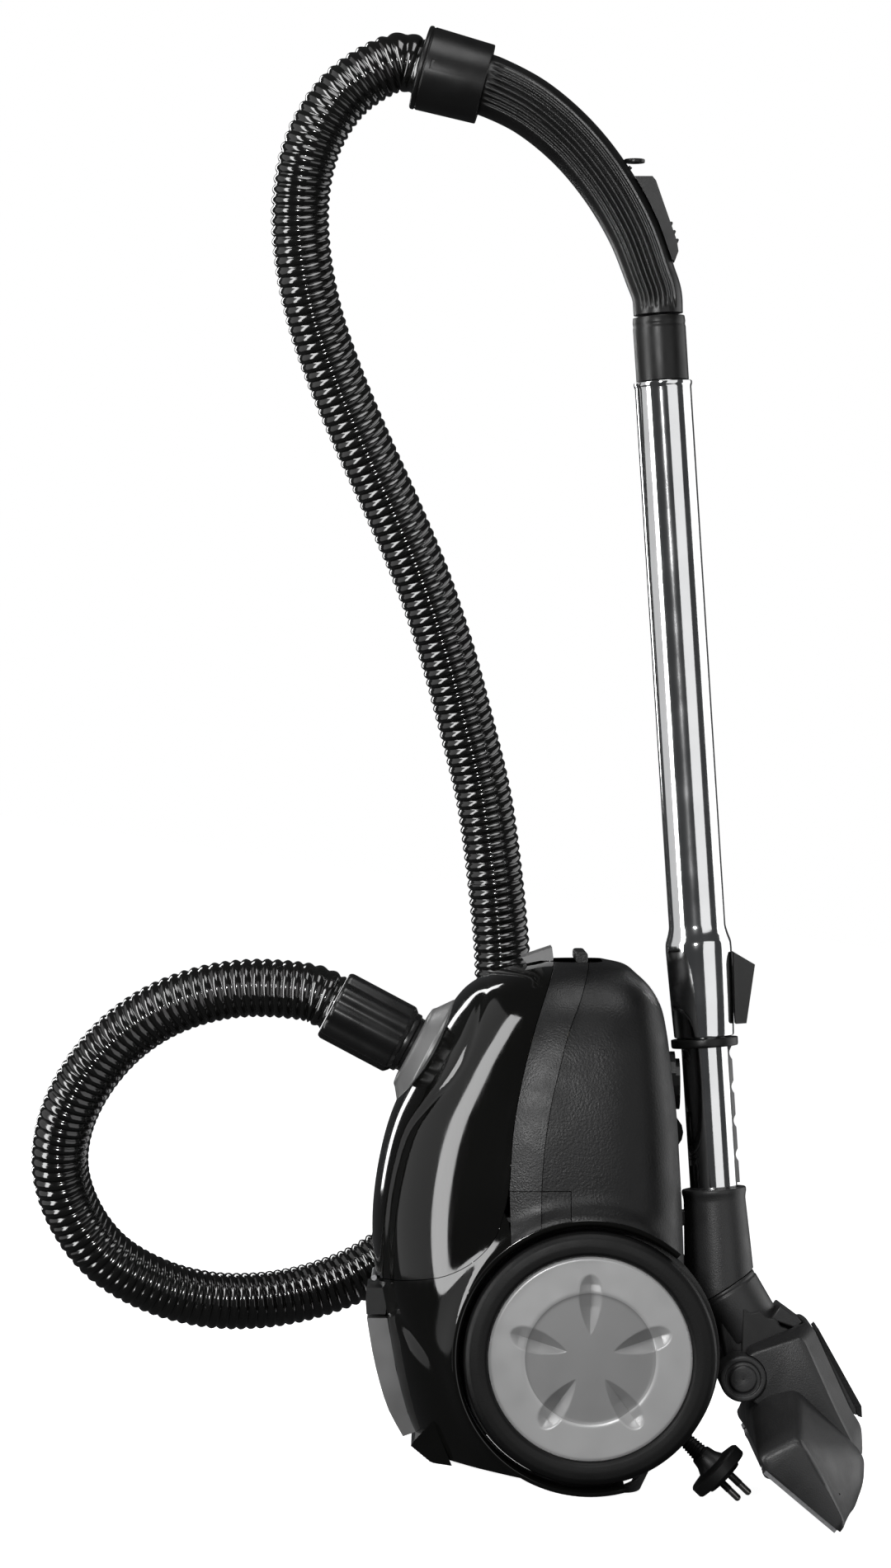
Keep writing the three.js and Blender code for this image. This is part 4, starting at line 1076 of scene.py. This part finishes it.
def add_neck():
    """The nozzle's neck on the lower tube, cut off square at the swivel, and the hook for parking."""
    profile = [(17.1, -NECK_TOP), (22.6, -NECK_TOP), (22.9, -573.5), (22.2, -576.5), (21.9, -579),
               (23.6, -612), (24.8, -640), (25, -690), (15, -690), (15, -613), (17.1, -613)]
    neck = turned_piece("neck_tube", profile, "nozzle_plastic", WAND_AXIS, 1.0, TUBE_SIDES)
    carve(neck, [(*round_bar(70, -90, 0.4, 48), SWIVEL_AXIS)])
    edge_round(neck, 0.5, 2, 50.0)
    finish_piece(neck, "wand_lower", "nozzle_neck")
    leg = block(156, 161.8, -10, 10, -318, -299)
    arm = block(161, 175, -5, 5, -312, -301)
    eased_piece("park_leg", leg, "nozzle_plastic", "wand_lower", round_by=1.2)
    eased_piece("park_arm", arm, "nozzle_plastic", "wand_lower", round_by=1.2)


BELLOWS_R = 45.0
PLEAT_DEPTH = 1.1


def around_knuckle(angle, reach):
    """The point at an angle in degrees and a distance from the knuckle."""
    turn = math.radians(angle)
    return KNUCKLE[0] + math.cos(turn) * reach, KNUCKLE[1] + math.sin(turn) * reach


def add_elbow():
    """From the swivel down to the knuckle drum, with the pleated bellows behind it."""
    bend = [(15, -0.2), (24.4, -0.2), (24.7, -2), (24.2, -3), (24.9, -4.6), (23.8, -37), (23, -38),
            (15, -38)]
    turned_part("elbow_tube", bend, "nozzle_plastic", SWIVEL_AXIS, "elbow", "nozzle_elbow",
                round_by=0.5, sides=TUBE_SIDES)
    web = plate([(192, -374), (222, -392), (222, -412), (197, -410)], -20, 20)
    eased_piece("elbow_web", web, "nozzle_plastic", "elbow", round_by=2.0, segments=3)
    cowl = plate([(228, -376), (234.9, -366.5), (250.5, -378), (247, -383)], -23, 23)
    eased_piece("elbow_cowl", cowl, "nozzle_plastic", "elbow", round_by=1.2, segments=3)
    drum_end = [(16.2, 52), (15.2, 53.2), (12.6, 53.2), (12, 52.4), (9.8, 52.6), (9.4, 53.6), (8.6, 54.4),
                (0.2, 54.4)]
    knuckle = [*((radius, -height) for radius, height in reversed(drum_end)), *drum_end]
    turned_part("knuckle_drum", knuckle, "nozzle_plastic", KNUCKLE_AXIS, "elbow", round_by=0.5)
    outline = [KNUCKLE]
    for step in range(33):
        pleat = PLEAT_DEPTH * math.cos(step * math.pi / 4)
        outline.append(around_knuckle(27 + 1.9 * step, BELLOWS_R + pleat))
    eased_piece("bellows_pleats", plate(outline, -25, 25), "soft_rubber", "elbow", "nozzle_bellows",
                round_by=1.2)


# The nozzle head's side outline in the middle and at its ends, corner by corner, and the same for the hump.
HEAD_MIDDLE = [
    (213, -438), (215.5, -464), (240, -489.5), (267, -513), (283.5, -509), (291.5, -487), (292, -470),
    (286, -461.5), (244, -421.5), (222, -428)]
HEAD_END = [
    (212.5, -458), (215.5, -466.5), (240, -489.5), (265.5, -514), (273.5, -505), (264, -484), (254, -465),
    (248, -454.5), (240.5, -443), (222, -452)]
HUMP_MIDDLE = [
    (209, -396), (247, -380), (252.5, -377.8), (258, -381.5), (284, -439), (291.3, -449), (292.3, -472),
    (280, -480), (262, -470), (230, -440), (212, -430)]
HUMP_END = [
    (209, -398), (243, -387), (247, -385.6), (250.5, -388.5), (273, -438), (285, -462), (284, -471),
    (276, -473), (260, -470), (230, -440), (212, -430)]


def shoulder_rings(middle, end, half, flat_half, edge):
    """Rings across a shell that keeps its middle outline, slopes to its end outline and has round ends."""
    rings = []
    stations = [-half, -half + 0.12 * edge, -half + 0.45 * edge, -half + edge]
    stations += [-half + edge + (half - edge - flat_half) * i / 8 for i in range(1, 9)]
    stations += [-station for station in reversed(stations)]
    for y in stations:
        slope = max(0.0, min(1.0, (abs(y) - flat_half) / (half - edge - flat_half)))
        outline = [Vector(a).lerp(Vector(b), slope) for a, b in zip(middle, end)]
        centre = sum(outline, Vector((0, 0))) / len(outline)
        past = max(0.0, (abs(y) - half + edge) / edge)
        shrink = edge * (1 - math.sqrt(max(0.0, 1 - past * past)))
        drawn = [p + (centre - p).normalized() * shrink for p in outline]
        soft = rounded([tuple(p) for p in drawn], 7.0, CORNER_STEPS)
        rings.append([(x, y, z) for x, z in soft])
    return rings


def elbow_room():
    """Room for the elbow to swing in."""
    fan = [KNUCKLE, *(around_knuckle(-25 + 5 * step, ELBOW_ROOM_R) for step in range(46))]
    return (*plate(fan, -26, 26), None)


def pedal_room():
    """Room for the pedal and its skirt to be pressed into."""
    outline = [(258.6, -387), (276.4, -443), (277, -449.6), (296, -449.6), (296, -386.5)]
    return (*plate(outline, -24.6, 24.6), None)


def add_pedal_skirt():
    """The pedal's deep edge, which closes the gap over its pocket."""
    outline = [(261.4, -386.9), (288.2, -438.4), (289, -443.4), (283.2, -441.6), (260.9, -389)]
    eased_piece("pedal_skirt", plate(outline, -23.4, 23.4), "nozzle_plastic", "pedal", round_by=0.4)


def add_nozzle_head():
    """The wide head, hollow over the sole, and the hump over the knuckle."""
    sole_side = (*block(-70, 70, -150, 150, -40, 3.0), SOLE_AXIS)
    chamber = (*block(-22, 20, -112, 112, 0, 22), SOLE_AXIS)
    room = [elbow_room(), (*round_bar(16.8, -60, 60, 64), KNUCKLE_AXIS), pedal_room()]
    head_rings = shoulder_rings(HEAD_MIDDLE, HEAD_END, NOZZLE_HALF, 50.0, 6.0)
    head = make_piece("nozzle_head", *skin(head_rings), "nozzle_plastic")
    carve(head, [sole_side, chamber, *room])
    finish_piece(head, "nozzle", "nozzle_body")
    hump_rings = shoulder_rings(HUMP_MIDDLE, HUMP_END, 48.5, 34.0, 1.6)
    hump = make_piece("nozzle_hump", *skin(hump_rings), "nozzle_plastic")
    carve(hump, room)
    finish_piece(hump, "nozzle")


BRUSH_ROW = 12.3
BRUSH_START = -104
TUFTS = 105
TUFT_PITCH = 2.0
TUFT_ROOT = 5.0
TUFT_TIP = 3.1


def add_bristles():
    """Short leaning tufts along both brush rows of the sole, as one mesh."""
    verts, faces = [], []
    for row in (-BRUSH_ROW, BRUSH_ROW):
        for i in range(TUFTS):
            y = BRUSH_START + TUFT_PITCH * i
            lean = 0.5 * math.sin(i * 2.4)
            root = [(row + sx * 0.7, y + sy * 0.8, TUFT_ROOT) for sx, sy in CORNERS]
            tip = [(row + sx * 0.5 + lean, y + sy * 0.6, TUFT_TIP) for sx, sy in CORNERS]
            tuft_verts, tuft_faces = skin([root, tip])
            faces += [tuple(len(verts) + k for k in face) for face in tuft_faces]
            verts += tuft_verts
    tufts = make_piece("brush_tufts", verts, faces, "bristle_dark", SOLE_AXIS, smooth=False)
    finish_piece(tufts, "brushes")


# ---- plug and small fittings
PLUG_FLATTEN = 0.86
RELIEF_STEPS = 60
PIN = [(0.1, 46), (2.4, 46), (2.4, 64.6), (1.4, 66), (0.1, 66)]
PIN_SLEEVE = [(2.3, 46.6), (2.6, 46.6), (2.6, 56), (2.3, 56)]


def add_plug():
    """The mains plug in its outlet: ringed strain relief, slightly flattened body and two pins."""
    relief = [(4, 5)]
    for step in range(RELIEF_STEPS + 1):
        radius = 4.9 + 1.3 * step / RELIEF_STEPS + 0.45 * math.cos(step * math.pi / 4)
        relief.append((radius, 5 + step * 0.28))
    body = [(7.4, 23.2), (8.6, 29), (11, 33.6), (20.4, 35.4), (21.6, 36.6), (21.6, 43.2), (20.6, 44.4),
            (14.2, 45.2), (13.4, 47), (0.3, 47), (0.3, 5)]
    verts, faces = lathe([*relief, *body])
    flat = [(x, y * PLUG_FLATTEN, z) for x, y, z in verts]
    plug = make_piece("plug_body", flat, faces, "plug_plastic", PLUG_AXIS)
    finish_piece(plug, "canister", "mains_plug")
    for side, word in SIDES:
        place = PLUG_AXIS @ Matrix.Translation((side * 4.5, side * 8.4, 0))
        pin = turned_piece(f"plug_pin_{word}", PIN, "plug_pin", place, 0.5, 32)
        finish_piece(pin, "canister", slot="plug_plastic")
        turned_part(f"pin_sleeve_{word}", PIN_SLEEVE, "plug_plastic", place, "canister",
                    round_by=0.1, sides=32)


FOOT_RIBS = 7
REGULATOR_RIBS = 3
RIB_SIDES = 20


def add_rear_foot():
    """The foot that carries the rear end: a rounded block with grip ribs across its edge."""
    outline = [(-22, -455), (-24, -458.2), FLOOR_POINT, (24, floor_z(24)), (33, -474), (34, -440),
               (-8, -440)]
    verts, faces = skin([[(x, y, z) for x, z in rounded(outline, 2.5)] for y in (-74, 74)])
    foot = make_piece("foot_block", verts, faces, "gloss_black")
    carve(foot, [(*skin_solid(0.3), None)])
    edge_round(foot, 0.8)
    finish_piece(foot, "canister", "rear_foot", slot="dark_plastic")
    for i in range(FOOT_RIBS):
        share = i / (FOOT_RIBS - 1)
        x, z = -23.2 + 12.5 * share, -458.6 - 10.3 * share
        grip = rib_across(f"foot_rib_{i}", x, z, 70, 0.8, "tyre_rubber")
        finish_piece(grip, "canister", slot="dark_plastic")


def add_regulator_ribs():
    """Thumb ribs on the suction regulator."""
    for i in range(REGULATOR_RIBS):
        x, z = 159.4 + 2.1 * i, 396 - 6.0 * i
        grip = rib_across(f"regulator_rib_{i}", x, z, 6.5, 1.1, "handle_plastic")
        finish_piece(grip, "regulator")


def rib_across(name, x, z, half, radius, material):
    """A round rib that lies across, from -half to half."""
    rings = [[(x + radius * math.cos(turn), y, z + radius * math.sin(turn)) for turn in turns(RIB_SIDES)]
             for y in (-half, half)]
    return make_piece(name, *skin(rings), material)


ROUNDED_NODES = {
    "lid_latch": 1.4, "tube_button": 1.6, "nozzle_pedal": 0.9, "regulator_slider": 1.0, "power_button": 1.2,
    "rewind_button": 1.2, "rear_trim": 1.0, "caster_fork": 0.8, "caster_wheel": 0.8,
    "parking_socket": 0.5, "outlet_grommet": 0.5, "sole_plate": 0.5}


def dress_nodes():
    """The CAD nodes that keep showing get their slot's material, smooth shading and small round edges."""
    slots = {part["node"]: part["material_slot"] for part in frame["record"]["subparts"]}
    for node, obj in frame["nodes"].items():
        obj.data.materials.clear()
        obj.data.materials.append(MATERIALS[slots[node]])
        if obj.hide_render:
            continue
        soften(obj.data, 35.0)
        if node in ROUNDED_NODES:
            edge_round(obj, ROUNDED_NODES[node], 3, 40.0)


make_materials()
add_camera()
add_studio()
add_hose()
add_panels()
add_band()
for wheel_side, wheel_word in SIDES:
    add_wheel(wheel_side, wheel_word)
add_connector()
add_handle()
add_cuff()
add_wand()
add_neck()
add_elbow()
add_nozzle_head()
add_pedal_skirt()
add_bristles()
add_plug()
add_rear_foot()
add_regulator_ribs()
dress_nodes()
